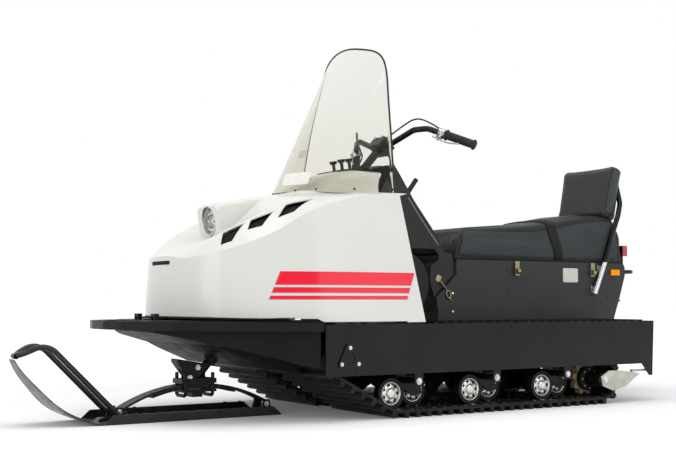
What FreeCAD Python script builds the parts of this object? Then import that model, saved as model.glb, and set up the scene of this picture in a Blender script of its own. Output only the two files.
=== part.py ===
import FreeCAD, Part

import math
import os

import Sketcher

# A twin-track utility snowmobile with one front ski, parked on a flat floor.
# X points forward, Y to the rider's left and Z up. The origin is on the floor,
# in the middle of the machine's length and width. All lengths are millimetres.

Vector = FreeCAD.Vector

SIZES = {
    # Whole machine
    "overall_length": 2695,
    "overall_width": 910,
    "overall_height": 1335,
    "fit_gap": 0.3,
    "cut_overrun": 20,
    "sheet_wall": 3,
    # Deck, side skirts and hull
    "deck_front_x": 484,
    "deck_rear_x": -1029,
    "deck_top": 312,
    "deck_thick": 10,
    "tread_rib_width": 8,
    "tread_rib_height": 5,
    "tread_rib_step": 42,
    "tread_rib_count": 25,
    "tread_front_x": 40,
    "tread_inner_y": 200,
    "tread_side_gap": 15,
    "skirt_bottom": 147,
    "skirt_tail_flange": 14,
    "skirt_tail_run": 70,
    "skirt_tail_drop": 46,
    "skirt_tail_width": 18,
    "skirt_tail_lean": 12,
    "hull_top": 326,
    "hull_nose_x": 962,
    "hull_nose_bottom": 290,
    "hull_rear_x": 492,
    "hull_shelf": 32,
    "hull_keel_bottom": 150,
    "hull_keel_inset": 155,
    "hull_chine_bottom": 176,
    "hull_ledge_x": 884,
    "hull_rim_width": 24,
    # Bumper hoop
    "bumper_thick": 22,
    "bumper_height": 28,
    "bumper_nose_z": 312,
    "bumper_tail_z": 305,
    "bumper_nose_x": 1063,
    "bumper_tail_x": 490,
    "bumper_bend": 70,
    # Centre beam, tow plate and tail handle
    "beam_half": 42,
    "beam_front_x": 459,
    "beam_rear_x": -985,
    "beam_bottom": 168,
    "beam_web": 20,
    "beam_flange": 14,
    "hitch_length": 120,
    "hitch_width": 76,
    "hitch_thick": 12,
    "hitch_bore": 17,
    "handle_half": 76,
    "handle_radius": 8,
    "handle_bend": 40,
    "handle_z": 515,
    # Tracks
    "track_side_gap": 20,
    "track_beam_gap": 13,
    "belt_thick": 9,
    "shoe_height": 17,
    "shoe_root": 19,
    "shoe_crest": 12,
    "shoe_count": 60,
    "drive_axle_x": 395,
    "drive_axle_z": 206,
    "rear_axle_x": -767,
    "loop_radius": 64.5,
    "axle_radius": 15,
    "sprocket_width": 26,
    "sprocket_offset": 76,
    "sprocket_teeth": 9,
    "sprocket_root_radius": 50,
    "tooth_root": 26,
    "tooth_crest": 15,
    "hub_radius": 44,
    "hub_width": 22,
    # Bogies and their wheels
    "bogie_count": 3,
    "bogie_step": 341,
    "bogie_front_x": 113.5,
    "bogie_half": 70.5,
    "bogie_pin_z": 120,
    "bogie_pin_radius": 11,
    "bogie_arm_thick": 12,
    "bogie_arm_height": 34,
    "bogie_arm_offset": 90,
    "wheel_radius": 52,
    "wheel_width": 30,
    "rim_radius": 40,
    "rim_depth": 7,
    "wheel_bore": 10,
    "wide_wheel_offset": 124,
    "narrow_wheel_offset": 55,
    "hanger_width": 34,
    "hanger_thick": 5,
    # Drive axle bearings and track tension
    "bearing_flange_half": 42,
    "bearing_flange_height": 74,
    "bearing_flange_thick": 6,
    "bearing_boss_radius": 19,
    "bearing_recess": 2.5,
    "bearing_corner": 12,
    "tension_plate_thick": 6,
    "tension_plate_gap": 14,
    "tension_plate_lead": 22,
    "tension_plate_reach": 210,
    "tension_plate_height": 76,
    "tension_bolt_radius": 5,
    "tension_bolt_length": 105,
    "tension_bolt_z": 121,
    # Seat box, console and what stands on them
    "box_half": 165,
    "box_front_x": -186,
    "box_rear_x": -1180,
    "box_top": 546,
    "console_half": 160,
    "console_front_x": 158,
    "console_rear_x": -262,
    "console_top": 889,
    "dash_front_x": 196,
    "dash_half": 78,
    "dash_front_z": 861,
    "dash_rear_x": 10,
    "dash_hole_gap": 16,
    "knob_radius": 15,
    "knob_height": 26,
    "knob_stem_radius": 6,
    "choke_radius": 9,
    "choke_length": 74,
    "latch_width": 22,
    "latch_height": 56,
    "latch_depth": 9,
    "latch_front_x": -572,
    "latch_rear_x": -984,
    "latch_z": 516,
    "reflector_length": 50,
    "reflector_height": 24,
    "reflector_depth": 6,
    "reflector_x": -1118,
    "reflector_z": 507,
    # Seat, strap, backrest
    "seat_half": 168,
    "seat_front_x": -263,
    "seat_length": 912,
    "seat_height": 200,
    "seat_edge_radius": 30,
    "strap_x": -745,
    "strap_width": 38,
    "strap_thick": 3,
    "rest_half": 136,
    "rest_height": 202,
    "rest_thick": 58,
    "rest_radius": 20,
    "rest_x": -1092,
    "rest_z": 758,
    "rest_lean": 13,
    "rest_tube_radius": 11,
    "rest_clamp_half": 16,
    "rest_foot_x": -985,
    "rest_foot_z": 417,
    "rest_tube_bend": 60,
    "lamp_width": 66,
    "lamp_height": 44,
    "lamp_depth": 30,
    "lamp_y": 120,
    "lamp_foot_z": 482,
    "lamp_top_z": 622,
    "lamp_corner": 6,
    # Engine and clutch guard
    "engine_length": 280,
    "engine_width": 240,
    "engine_height": 245,
    "engine_rear_x": -40,
    "guard_radius": 117,
    "guard_width": 34,
    "guard_x": -34,
    "guard_z": 452,
    # Hood
    "hood_wall": 4,
    "hood_bottom": 318,
    "hood_side_z": 321.5,
    "hood_front_z": 331.5,
    "hood_nose_z": 337.5,
    "hood_step_x": 160,
    "hood_front_step_x": 478,
    "hood_nose_x": 868,
    "hood_rear_x": 85,
    "hood_corner_z": 746,
    "hood_side_gap": 5,
    "hood_peak_z": 884,
    "hood_wall_lean": 70,
    "hood_nose_rake": 20,
    "cowl_gap": 7,
    "nacelle_half": 78,
    "nacelle_front_x": 690,
    "nacelle_rear_x": 470,
    "nacelle_top": 720,
    "nacelle_bottom": 590,
    "nacelle_corner": 22,
    "lamp_radius": 50,
    "lamp_x": 664,
    "lamp_z": 663,
    "lamp_depth_x": 60,
    "bezel_thick": 5,
    "bezel_depth": 16,
    "lamp_dome": 14,
    # Hood hinge
    "hinge_x": 905,
    "hinge_z": 339,
    "hinge_y": 70,
    "hinge_pin_radius": 5,
    "hinge_boss_radius": 8,
    "hinge_tab_width": 16,
    "hinge_lug_thick": 6,
    "hinge_leg_height": 44,
    "hinge_leg_thick": 6,
    "hinge_leg_gap": 9,
    "hinge_side_gap": 1,
    # Windshield
    "screen_thick": 3,
    "screen_base_z": 740,
    "screen_base_x": 446,
    "screen_top_x": 155,
    "screen_half": 296,
    "screen_edge_x": 113,
    "screen_top_edge_x": 92,
    "screen_top_half": 158,
    # Steering column, handlebar and controls
    "spindle_x": 728,
    "spindle_z": 125,
    "column_top_x": 27,
    "column_top_z": 896,
    "column_radius": 15,
    "column_end": 84,
    "column_hole_gap": 8,
    "bush_radius": 27,
    "bush_height": 50,
    "lower_bush_at": 76,
    "upper_bush_at": 797,
    "stay_thick": 8,
    "clamp_length": 62,
    "clamp_width": 74,
    "clamp_height": 44,
    "bar_radius": 11,
    "bar_bend": 55,
    "bar_reach_y": 384,
    "grip_radius": 16,
    "grip_length": 118,
    "grip_flange": 21,
    "grip_flange_width": 7,
    "lever_thick": 9,
    "lever_length": 120,
    "lever_drop": 22,
    "lever_clamp_radius": 18,
    "lever_clamp_width": 26,
    "cable_radius": 3,
    "cable_side": 12,
    "cable_clip_at": 1060,
    "cable_end_at": 960,
    # Ski and its spring
    "ski_rear_x": 454,
    "ski_tip_z": 209,
    "ski_half": 112,
    "ski_thick": 4,
    "ski_flange": 30,
    "ski_keel_width": 34,
    "ski_keel_height": 10,
    "ski_nose_x": 1085,
    "loop_bar_radius": 9,
    "loop_peak_x": 1254,
    "loop_peak_z": 258,
    "loop_foot_x": 948,
    "loop_bend": 60,
    "loop_half": 48,
    "loop_foot_run": 60,
    "spring_width": 58,
    "spring_leaf": 8,
    "spring_rear_x": 470,
    "spring_front_x": 1010,
    "spring_end_z": 32,
    "spring_crown_z": 104,
    "eye_radius": 11,
    "bracket_thick": 8,
    "saddle_length": 128,
    "saddle_width": 74,
    "saddle_height": 16,
    "u_bolt_radius": 6,
    "u_bolt_rise": 20,
    "u_bolt_share_gap": 14,
    "tongue_width": 46,
    "tongue_length": 38,
    "tongue_bottom": 66,
    "fork_width": 50,
    "fork_top_z": 196,
    "fork_front_reach": 76,
}

# Sizes that follow others, as formulas of the sheet.
FOLLOWING_SIZES = {
    "track_width": "overall_width / 2 - track_side_gap - beam_half - track_beam_gap",
    "track_mid_y": "(overall_width / 2 - track_side_gap + beam_half + track_beam_gap) / 2",
    "tread_outer_y": "overall_width / 2 - tread_side_gap",
    "tension_plate_y": "overall_width / 2 - tension_plate_gap",
    "hull_keel_half": "overall_width / 2 - hull_keel_inset",
    "hood_half": "overall_width / 2 - hood_side_gap",
}

# Outlines as shares, chosen by hand, of the sizes that they follow.
HULL_PLAN_SHARES = ((0.0, 0.998), (0.3, 0.885), (0.61, 0.765), (0.86, 0.6), (0.975, 0.38), (1.0, 0.2))
HULL_KEEL_SHARES = ((0.0, 0.0), (0.27, 0.15), (0.5, 0.48), (0.67, 0.77), (1.0, 1.0))
BUMPER_PLAN_SHARES = ((0.0, 1.0), (0.235, 0.925), (0.495, 0.812), (0.755, 0.6), (0.955, 0.32), (1.0, 0.11))
BOX_SIDE_SHARES = (
    (0.0, 0.0), (0.0, 0.15), (-0.008, 0.385), (0.089, 0.748), (0.09, 1.0),
    (0.99, 1.0), (1.0, 0.93), (1.0, 0.78), (0.963, 0.35), (0.93, 0.0),
)
# Console side: the cover runs over the points from the head to the heel.
CONSOLE_COVER_SHARES = (
    (0.35, 1.0), (0.407, 0.945), (0.569, 0.775), (0.76, 0.607), (0.838, 0.53), (0.905, 0.45),
    (0.986, 0.442), (1.0, 0.405),
)
CONSOLE_FRONT_SHARES = (
    (0.062, 0.0), (0.0, 0.0), (0.0, 0.655), (-0.112, 0.655), (-0.112, 0.745), (0.167, 0.76), (0.243, 0.86),
)
CONSOLE_HEEL_SHARES = (
    (1.0, 0.31), (0.784, 0.158), (0.741, 0.258), (0.752, 0.357), (0.838, 0.402), (0.838, 0.431),
    (0.79, 0.47), (0.062, 0.47),
)
SEAT_SIDE_SHARES = (
    (0.0, 0.0), (0.01, 0.32), (0.055, 0.60), (0.30, 0.70), (0.47, 0.77), (0.62, 0.89),
    (0.76, 1.0), (0.955, 0.985), (0.99, 0.72), (1.0, 0.0),
)
TENSION_PLATE_SHARES = (
    (0.0, 0.72), (0.04, 0.26), (0.30, 0.0), (0.62, 0.16), (1.0, 0.80), (0.55, 0.98), (0.2, 1.0),
)
# Hood walls in plan: share of the run from the rear to the nose, share of the half width.
HOOD_PLAN_SHARES = (
    (-0.12, 1.0), (0.2, 0.99), (0.4955, 0.956), (0.62, 0.905), (0.738, 0.822), (0.866, 0.667), (0.949, 0.444),
    (0.987, 0.222),
)
# Hood top: at each share of the run, shares of the half width and of the rise.
HOOD_TOP_SHARES = (
    (-0.12, ((0.0, 1.0), (0.2, 0.995), (0.28, 0.96), (0.36, 0.83), (0.46, 0.79), (0.7, 0.785), (1.0, 0.73))),
    (0.12, ((0.0, 0.965), (0.2, 0.955), (0.28, 0.92), (0.36, 0.825), (0.46, 0.79), (0.7, 0.78), (1.0, 0.72))),
    (0.27, ((0.0, 0.885), (0.2, 0.875), (0.28, 0.845), (0.36, 0.805), (0.46, 0.785), (0.7, 0.77), (1.0, 0.70))),
    (0.44, ((0.0, 0.79), (0.16, 0.785), (0.3, 0.775), (0.42, 0.765), (0.54, 0.75), (0.7, 0.725), (1.0, 0.65))),
    (0.565, ((0.0, 0.735), (0.16, 0.73), (0.3, 0.72), (0.42, 0.712), (0.56, 0.70), (0.7, 0.66), (0.95, 0.59))),
    (0.694, ((0.0, 0.572), (0.16, 0.575), (0.3, 0.592), (0.42, 0.608), (0.54, 0.608), (0.66, 0.565), (0.9, 0.48))),
    (0.82, ((0.0, 0.47), (0.13, 0.475), (0.26, 0.495), (0.38, 0.518), (0.47, 0.52), (0.58, 0.48), (0.8, 0.40))),
    (0.93, ((0.0, 0.42), (0.1, 0.42), (0.2, 0.418), (0.3, 0.41), (0.38, 0.398), (0.48, 0.376), (0.66, 0.33))),
    (1.06, ((0.0, 0.35), (0.1, 0.35), (0.2, 0.345), (0.3, 0.335), (0.38, 0.325), (0.48, 0.31), (0.66, 0.28))),
)
HOOD_REAR_SHARES = ((0.0, -0.2), (0.0, 0.0), (0.087, 0.756), (0.011, 0.786), (-0.019, 0.905), (-0.074, 1.0))
NACELLE_SIDE_SHARES = ((0.0, 0.05), (0.0, 1.28), (0.4, 1.2), (0.94, 1.02), (1.0, 0.93), (0.9, 0.05))
# Vents: corners as shares of the hood's run and half width, front vent first.
VENT_SHARES = (
    ((0.86, 0.555), (0.822, 0.462), (0.737, 0.53), (0.823, 0.605)),
    ((0.755, 0.618), (0.71, 0.53), (0.622, 0.596), (0.703, 0.668)),
    ((0.637, 0.69), (0.565, 0.60), (0.445, 0.664), (0.572, 0.74)),
)
# Windshield seen from the front: share of the half width, share of the height above its base.
SCREEN_EDGE_SHARES = (
    (1.0, -0.1), (0.99, 0.19), (0.952, 0.437), (0.89, 0.605), (0.778, 0.773), (0.656, 0.874), (0.47, 0.953),
    (0.22, 0.993),
)
# Handlebar from the clamp out: shares of its reach to the side, rearward and up.
BAR_SHARES = (
    (0.0, 0.0, 0.0), (0.12, 0.0, 0.0), (0.47, 0.055, 0.115), (0.61, 0.115, 0.115), (1.0, 0.365, -0.07),
)
REST_TUBE_SHARES = (
    (1.0, 0.56, 1.0), (0.883, 0.84, 0.779), (0.677, 1.0, 0.667), (0.51, 1.0, 0.51),
    (0.327, 1.0, 0.303), (0.0, 1.0, 0.0),
)
REST_CLAMP_SHARES = (0.12, 0.68)
# Knobs and key on the dash: share of its run from the rear, share of its half width.
DASH_KNOB_SHARES = ((0.82, 0.6), (0.64, 0.6), (0.7, -0.55))
# The left cable's own points, from the lever clamp to the clip on the column.
CABLE_ROUTE = (
    (-92, 235, 1045),
    (-62, 195, 1062),
    (-30, 150, 1030),
    (-5, 104, 998),
    (13, 58, 966),
)
CABLE_RUN_SHARE = 0.45
SCREEN_STEPS = 6
SCREEN_SPREAD = 1.08
SKI_SIDE_SHARES = ((0.21, 0.067), (0.49, 0.25), (0.78, 0.61), (1.0, 1.0))
SKI_PLAN_SHARES = ((0.3, 0.93), (0.6, 0.72), (0.85, 0.48), (1.0, 0.27))
FORK_SIDE_SHARES = ((0.0, 0.0), (0.42, 0.0), (1.0, 0.82), (1.0, 1.0), (-0.42, 0.72), (-0.42, 0.56))


class Size:
    """A number from the sheet, kept with the expression that gives it."""

    def __init__(self, number, text):
        self.number = float(number)
        self.text = text

    def __float__(self):
        return self.number

    def __add__(self, other):
        return Size(self.number + float(other), f"({self.text} + {text_of(other)})")

    def __radd__(self, other):
        return Size(float(other) + self.number, f"({text_of(other)} + {self.text})")

    def __sub__(self, other):
        return Size(self.number - float(other), f"({self.text} - {text_of(other)})")

    def __rsub__(self, other):
        return Size(float(other) - self.number, f"({text_of(other)} - {self.text})")

    def __mul__(self, other):
        return Size(self.number * float(other), f"({self.text} * {text_of(other)})")

    __rmul__ = __mul__

    def __truediv__(self, other):
        return Size(self.number / float(other), f"({self.text} / {text_of(other)})")

    def __neg__(self):
        return Size(-self.number, f"(0 - {self.text})")


def text_of(size):
    """The expression of a size, or a plain number as text."""
    if isinstance(size, Size):
        return size.text
    return repr(float(size))


class Sheet:
    """The spreadsheet of driving sizes and of those that follow them, read by alias."""

    def __init__(self, table, following):
        page = document.addObject("Spreadsheet::Sheet", "Sizes")
        for row, (alias, number) in enumerate(table.items(), 1):
            page.set(f"A{row}", alias)
            page.set(f"B{row}", str(number))
            page.setAlias(f"B{row}", alias)
        for row, (alias, formula) in enumerate(following.items(), len(table) + 1):
            page.set(f"A{row}", alias)
            page.set(f"B{row}", f"={formula}")
            page.setAlias(f"B{row}", alias)
        document.recompute()
        self.page = page

    def __getattr__(self, alias):
        return Size(self.page.get(alias), f"Sizes.{alias}")


def is_zero(size):
    """True for a plain zero, which a sketch holds by its axis."""
    return not isinstance(size, Size) and size == 0


def draw_outline(sketch, corners):
    """Closes straight edges through the corners, each corner held by its two sizes."""
    count = len(corners)
    first = sketch.GeometryCount
    edges = []
    for number in range(count):
        start = corners[number]
        end = corners[(number + 1) % count]
        edges.append(Part.LineSegment(Vector(start[0], start[1], 0), Vector(end[0], end[1], 0)))
    sketch.addGeometry(edges, False)
    joins = []
    for number in range(count):
        joins.append(Sketcher.Constraint("Coincident", first + number, 2, first + (number + 1) % count, 1))
    sketch.addConstraint(joins)
    for number, corner in enumerate(corners):
        hold_point(sketch, first + number, 1, corner)


def hold_point(sketch, edge, end, place):
    """Ties one point of a sketch to its two sizes."""
    for kind, axis, size in (("DistanceX", -2, place[0]), ("DistanceY", -1, place[1])):
        if is_zero(size):
            sketch.addConstraint(Sketcher.Constraint("PointOnObject", edge, end, axis))
            continue
        number = sketch.addConstraint(Sketcher.Constraint(kind, -1, 1, edge, end, float(size)))
        sketch.setExpression(f"Constraints[{number}]", size.text)


def draw_circle(sketch, place, radius):
    """A circle held by its centre and its radius."""
    circle = Part.Circle(Vector(place[0], place[1], 0), Vector(0, 0, 1), float(radius))
    edge = sketch.addGeometry(circle, False)
    hold_point(sketch, edge, 3, place)
    number = sketch.addConstraint(Sketcher.Constraint("Radius", edge, float(radius)))
    sketch.setExpression(f"Constraints[{number}]", radius.text)


class Piece:
    """A body made from sketches and features that are bound to the sheet."""

    def __init__(self, label):
        self.body = document.addObject("PartDesign::Body", label)
        self.body.Label = label

    def datum(self, role):
        """One of the body's own origin planes or axes."""
        return next(item for item in self.body.Origin.OriginFeatures if item.Role == role)

    def sketch(self, plane, height, outlines, circles=()):
        """A sketch on an origin plane, lifted along the plane's normal."""
        sketch = self.body.newObject("Sketcher::SketchObject", f"{self.body.Name}_sketch")
        sketch.AttachmentSupport = (self.datum(f"{plane}_Plane"), [""])
        sketch.MapMode = "FlatFace"
        sketch.setExpression("AttachmentOffset.Base.z", text_of(height))
        for corners in outlines:
            draw_outline(sketch, corners)
        for place, radius in circles:
            draw_circle(sketch, place, radius)
        return sketch

    def add(self, plane, low, high, outlines=(), circles=()):
        """Adds the outline's prism between two coordinates along the plane's axis."""
        height = -high if plane == "XZ" else low
        feature = self.body.newObject("PartDesign::Pad", f"{self.body.Name}_pad")
        feature.Profile = self.sketch(plane, height, outlines, circles)
        feature.setExpression("Length", text_of(high - low))
        self.body.Tip = feature
        return feature

    def cut(self, plane, low, high, outlines=(), circles=()):
        """Removes the outline's prism between two coordinates along the plane's axis."""
        height = -low if plane == "XZ" else high
        feature = self.body.newObject("PartDesign::Pocket", f"{self.body.Name}_pocket")
        feature.Profile = self.sketch(plane, height, outlines, circles)
        feature.setExpression("Length", text_of(high - low))
        self.body.Tip = feature
        return feature

    def revolve(self, plane, axis, outlines):
        """Turns the outline once round the sketch's own axis."""
        feature = self.body.newObject("PartDesign::Revolution", f"{self.body.Name}_turned")
        sketch = self.sketch(plane, 0, outlines)
        feature.Profile = sketch
        feature.ReferenceAxis = (sketch, [axis])
        feature.Angle = 360
        self.body.Tip = feature
        return feature

    def repeat(self, feature, axis, length, count):
        """Repeats a feature in a row, the given length from the first to the last."""
        pattern = self.body.newObject("PartDesign::LinearPattern", f"{self.body.Name}_row")
        pattern.Originals = [feature]
        pattern.Direction = (self.datum(f"{axis}_Axis"), [""])
        pattern.setExpression("Length", text_of(length))
        pattern.setExpression("Occurrences", text_of(count))
        self.body.Tip = pattern
        return pattern

    def around(self, feature, axis, count):
        """Repeats a feature evenly round an origin axis."""
        pattern = self.body.newObject("PartDesign::PolarPattern", f"{self.body.Name}_ring")
        pattern.Originals = [feature]
        pattern.Axis = (self.datum(f"{axis}_Axis"), [""])
        pattern.Angle = 360
        pattern.setExpression("Occurrences", text_of(count))
        self.body.Tip = pattern
        return pattern

    def mirror(self, features, plane):
        """Mirrors features over an origin plane."""
        pattern = self.body.newObject("PartDesign::Mirrored", f"{self.body.Name}_mirrored")
        pattern.Originals = list(features)
        pattern.MirrorPlane = (self.datum(f"{plane}_Plane"), [""])
        self.body.Tip = pattern
        return pattern

    def round(self, radius, choose):
        """Rounds the chosen edges of what is built so far."""
        document.recompute()
        tip = self.body.Tip
        names = [f"Edge{number}" for number, edge in enumerate(tip.Shape.Edges, 1) if choose(edge)]
        feature = self.body.newObject("PartDesign::Fillet", f"{self.body.Name}_fillet")
        feature.Base = (tip, names)
        feature.setExpression("Radius", text_of(radius))
        self.body.Tip = feature
        return feature

    def place(self, across=0, sideways=0, up=0):
        """Puts the body at its place on the machine."""
        put_at(self.body, across, sideways, up)
        return self


def put_at(item, across=0, sideways=0, up=0):
    """Binds an object's place to the sheet."""
    for axis, size in (("x", across), ("y", sideways), ("z", up)):
        if not is_zero(size):
            item.setExpression(f"Placement.Base.{axis}", text_of(size))


def runs_along(edge, axis):
    """True for a straight edge that runs along the axis."""
    if edge.Curve.TypeId != "Part::GeomLine":
        return False
    direction = edge.Curve.Direction
    return abs(abs(direction.dot(axis)) - 1) < 0.001


def combine(kind, label, first, second):
    """A boolean of two objects of the document."""
    item = document.addObject(f"Part::{kind}", label)
    item.Base = first
    item.Tool = second
    item.Label = label
    return item


def join(label, items):
    """Several objects kept in one node, or fused where they touch."""
    item = document.addObject("Part::Compound", label)
    item.Links = items
    item.Label = label
    return item


def mirrored(label, source):
    """The piece of the other side."""
    item = document.addObject("Part::Mirroring", label)
    item.Source = source
    item.Normal = Vector(0, 1, 0)
    item.Label = label
    return item


def shape_piece(label, shape):
    """A node whose shape is made directly from the sheet's sizes."""
    item = document.addObject("Part::Feature", label)
    item.Shape = shape
    item.Label = label
    return item


def both_sides(shape):
    """A shape and its mirror image on the machine's other side."""
    return Part.makeCompound([shape, shape.mirror(Vector(0, 0, 0), Vector(0, 1, 0))])


def scaled(shares, across_zero, across, up_zero, up):
    """Corners in real sizes from a table of shares."""
    return [(across_zero + across * share[0], up_zero + up * share[1]) for share in shares]


def box_corners(low_x, low_y, high_x, high_y):
    """The four corners of a rectangle."""
    return [(low_x, low_y), (high_x, low_y), (high_x, high_y), (low_x, high_y)]


def bent_path(points, bend):
    """Straight runs through the points, joined by tangent arcs of one radius."""
    edges = []
    start = points[0]
    for before, corner, after in zip(points, points[1:], points[2:]):
        inward = (before - corner).normalize()
        outward = (after - corner).normalize()
        half_turn = (math.pi - inward.getAngle(outward)) / 2
        reach = float(bend) * math.tan(half_turn)
        entry = corner + inward * reach
        leave = corner + outward * reach
        middle_way = (inward + outward).normalize()
        centre = corner + middle_way * (float(bend) / math.cos(half_turn))
        top = centre - middle_way * float(bend)
        edges.append(Part.LineSegment(start, entry).toShape())
        edges.append(Part.Arc(entry, top, leave).toShape())
        start = leave
    edges.append(Part.LineSegment(start, points[-1]).toShape())
    return Part.Wire(edges)


def rod(points, radius, bend):
    """A round bar bent along the points."""
    path = bent_path(points, bend)
    direction = points[1] - points[0]
    section = Part.Wire(Part.makeCircle(float(radius), points[0], direction))
    return path.makePipeShell([section], True, False)


def pin(start, end, radius):
    """A straight round bar between two points."""
    run = end - start
    return Part.makeCylinder(float(radius), run.Length, start, run)


def slab(corners, low, high, axis):
    """A prism of plain points, between two coordinates along Y or Z."""
    if axis == "Y":
        points = [Vector(across, low, up) for across, up in corners]
    else:
        points = [Vector(across, side, low) for across, side in corners]
    face = Part.Face(Part.makePolygon(points + points[:1]))
    run = float(high) - float(low)
    return face.extrude(Vector(0, run, 0) if axis == "Y" else Vector(0, 0, run))


def skirt_faces(s):
    """How far out the skirt's inner and outer faces stand."""
    outer = s.overall_width / 2 - s.bearing_flange_thick
    return outer - s.sheet_wall, outer


def make_deck(s):
    """The flat deck with its tread ribs on both footboards."""
    piece = Piece("deck")
    half = skirt_faces(s)[0]
    plan = box_corners(s.deck_rear_x, -half, s.deck_front_x, half)
    piece.add("XY", s.deck_top - s.deck_thick, s.deck_top, [plan])
    rib_run = s.tread_rib_step * (s.tread_rib_count - 1)
    rib_rear = s.tread_front_x - rib_run
    for low, high in ((s.tread_inner_y, s.tread_outer_y), (-s.tread_outer_y, -s.tread_inner_y)):
        plan = box_corners(rib_rear - s.tread_rib_width, low, rib_rear, high)
        rib = piece.add("XY", s.deck_top, s.deck_top + s.tread_rib_height, [plan])
        piece.repeat(rib, "X", rib_run, s.tread_rib_count)
    return piece.body


def make_skirts(s):
    """The side skirts, which hang from the deck's edges outside the tracks."""
    piece = Piece("skirt_left")
    inner, outer = skirt_faces(s)
    rear = s.deck_rear_x
    tail_x = rear + s.skirt_tail_lean
    tail_z = s.skirt_bottom - s.skirt_tail_drop
    side = [
        (s.deck_front_x, s.skirt_bottom),
        (s.deck_front_x, s.deck_top),
        (rear, s.deck_top),
        (tail_x, tail_z),
        (tail_x + s.skirt_tail_width, tail_z),
        (rear + s.skirt_tail_run, s.skirt_bottom),
    ]
    piece.add("XZ", inner, outer, [side])
    under = s.deck_top - s.deck_thick
    flange = [(rear, under), (rear + s.sheet_wall, under), (tail_x + s.sheet_wall, tail_z), (tail_x, tail_z)]
    piece.add("XZ", inner - s.skirt_tail_flange, outer, [flange])
    return piece.body, mirrored("skirt_right", piece.body)


def hull_block(s, label, wall, top):
    """The hull's outer form, or with a wall the space inside it."""
    piece = Piece(label)
    rear = s.hull_rear_x + wall
    nose = s.hull_nose_x - wall
    run = s.hull_nose_x - s.hull_rear_x
    rise = s.hull_nose_bottom - s.hull_keel_bottom
    half = s.overall_width / 2 - wall
    chine = [(rear, s.hull_chine_bottom + wall), (nose, s.hull_nose_bottom + wall), (nose, top), (rear, top)]
    piece.add("XZ", -half, half, [chine])
    floor = [
        (s.hull_rear_x + run * along, s.hull_keel_bottom + rise * up + wall) for along, up in HULL_KEEL_SHARES
    ]
    half = s.hull_keel_half - wall
    piece.add(
        "XZ", -half, half,
        [[(rear, floor[0][1])] + floor[1:-1] + [(nose, floor[-1][1]), (nose, top), (rear, top)]],
    )
    return piece.body


def bumper_middle(s):
    """How far out the bumper's middle line stands at its tail ends."""
    return s.overall_width / 2 - s.fit_gap - s.bumper_thick / 2


def hull_plan(s, front, inset):
    """The hull's plan outline, up one side and down the other."""
    half = bumper_middle(s) - s.bumper_thick / 2 - s.fit_gap - inset
    rear = s.hull_rear_x + inset
    left = scaled(HULL_PLAN_SHARES, rear, front - rear, 0, half)
    return left + [(across, -side) for across, side in reversed(left)]


def make_hull(s):
    """The open-topped hull under the hood, with a ledge at the nose for the hinge."""
    over = s.cut_overrun
    outer = hull_block(s, "hull_outside", 0 * s.sheet_wall, s.hull_top)
    inner = hull_block(s, "hull_inside", s.sheet_wall, s.hull_top + over)
    plan = Piece("hull_plan")
    plan.add("XY", s.hull_keel_bottom - over, s.hull_top, [hull_plan(s, s.hull_nose_x, 0)])
    space = Piece("hull_space")
    space.add(
        "XY", s.hull_keel_bottom - over, s.hull_top + over,
        [hull_plan(s, s.hull_nose_x - s.sheet_wall, s.sheet_wall)],
    )
    outer_form = combine("Common", "hull_outer_form", outer, plan.body)
    inner_form = combine("Common", "hull_inner_form", inner, space.body)
    shell = combine("Cut", "hull_shell", outer_form, inner_form)
    rim = Piece("hull_rim")
    rim.add("XY", s.hull_top - s.sheet_wall, s.hull_top, [hull_plan(s, s.hull_nose_x, 0)])
    opening = hull_plan(s, s.hull_ledge_x, s.hull_rim_width)
    rim.cut("XY", s.hull_top - over, s.hull_top + over, [opening])
    under = s.deck_top - s.deck_thick - s.fit_gap
    half = s.overall_width / 2 - s.hull_shelf
    shelf = box_corners(s.hull_rear_x - s.hull_shelf, -half, s.hull_rear_x, half)
    rim.add("XY", under - s.sheet_wall, under, [shelf])
    column = column_cylinder(s, s.column_radius + s.column_hole_gap)
    column_hole = shape_piece("column_hole", column)
    whole = combine("Fuse", "hull_whole", shell, rim.body)
    return combine("Cut", "belly_pan", whole, column_hole)


def column_points(s):
    """The spindle's foot and the column's head, on the steering axis."""
    foot = Vector(s.spindle_x, 0, s.spindle_z)
    head = Vector(s.column_top_x, 0, s.column_top_z)
    return foot, head


def column_cylinder(s, radius):
    """A round bar along the steering axis, from below the hull to the clamp."""
    foot, head = column_points(s)
    along = (head - foot).normalize()
    return pin(foot, head + along * float(s.column_end), radius)


def on_column(s, distance):
    """A point on the steering axis, this far above the spindle's foot."""
    foot, head = column_points(s)
    return foot + (head - foot).normalize() * float(distance)


def make_bumper(s):
    """The flat-sided hoop that runs along the hull and stands off at the nose."""
    run = s.bumper_nose_x - s.bumper_tail_x
    half = bumper_middle(s)
    rise = s.bumper_nose_z - s.bumper_tail_z
    left = [
        Vector(s.bumper_tail_x + run * along, half * side, s.bumper_tail_z + rise * along)
        for along, side in BUMPER_PLAN_SHARES
    ]
    right = [Vector(point.x, -point.y, point.z) for point in reversed(left)]
    path = bent_path(left + right, s.bumper_bend)
    across = Vector(0, 0, 1).cross(left[1] - left[0]).normalize() * float(s.bumper_thick / 2)
    upward = Vector(0, 0, float(s.bumper_height / 2))
    corners = [
        left[0] + across + upward, left[0] - across + upward, left[0] - across - upward,
        left[0] + across - upward,
    ]
    section = Part.makePolygon(corners + corners[:1])
    return shape_piece("bumper", path.makePipeShell([section], True, False))


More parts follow.
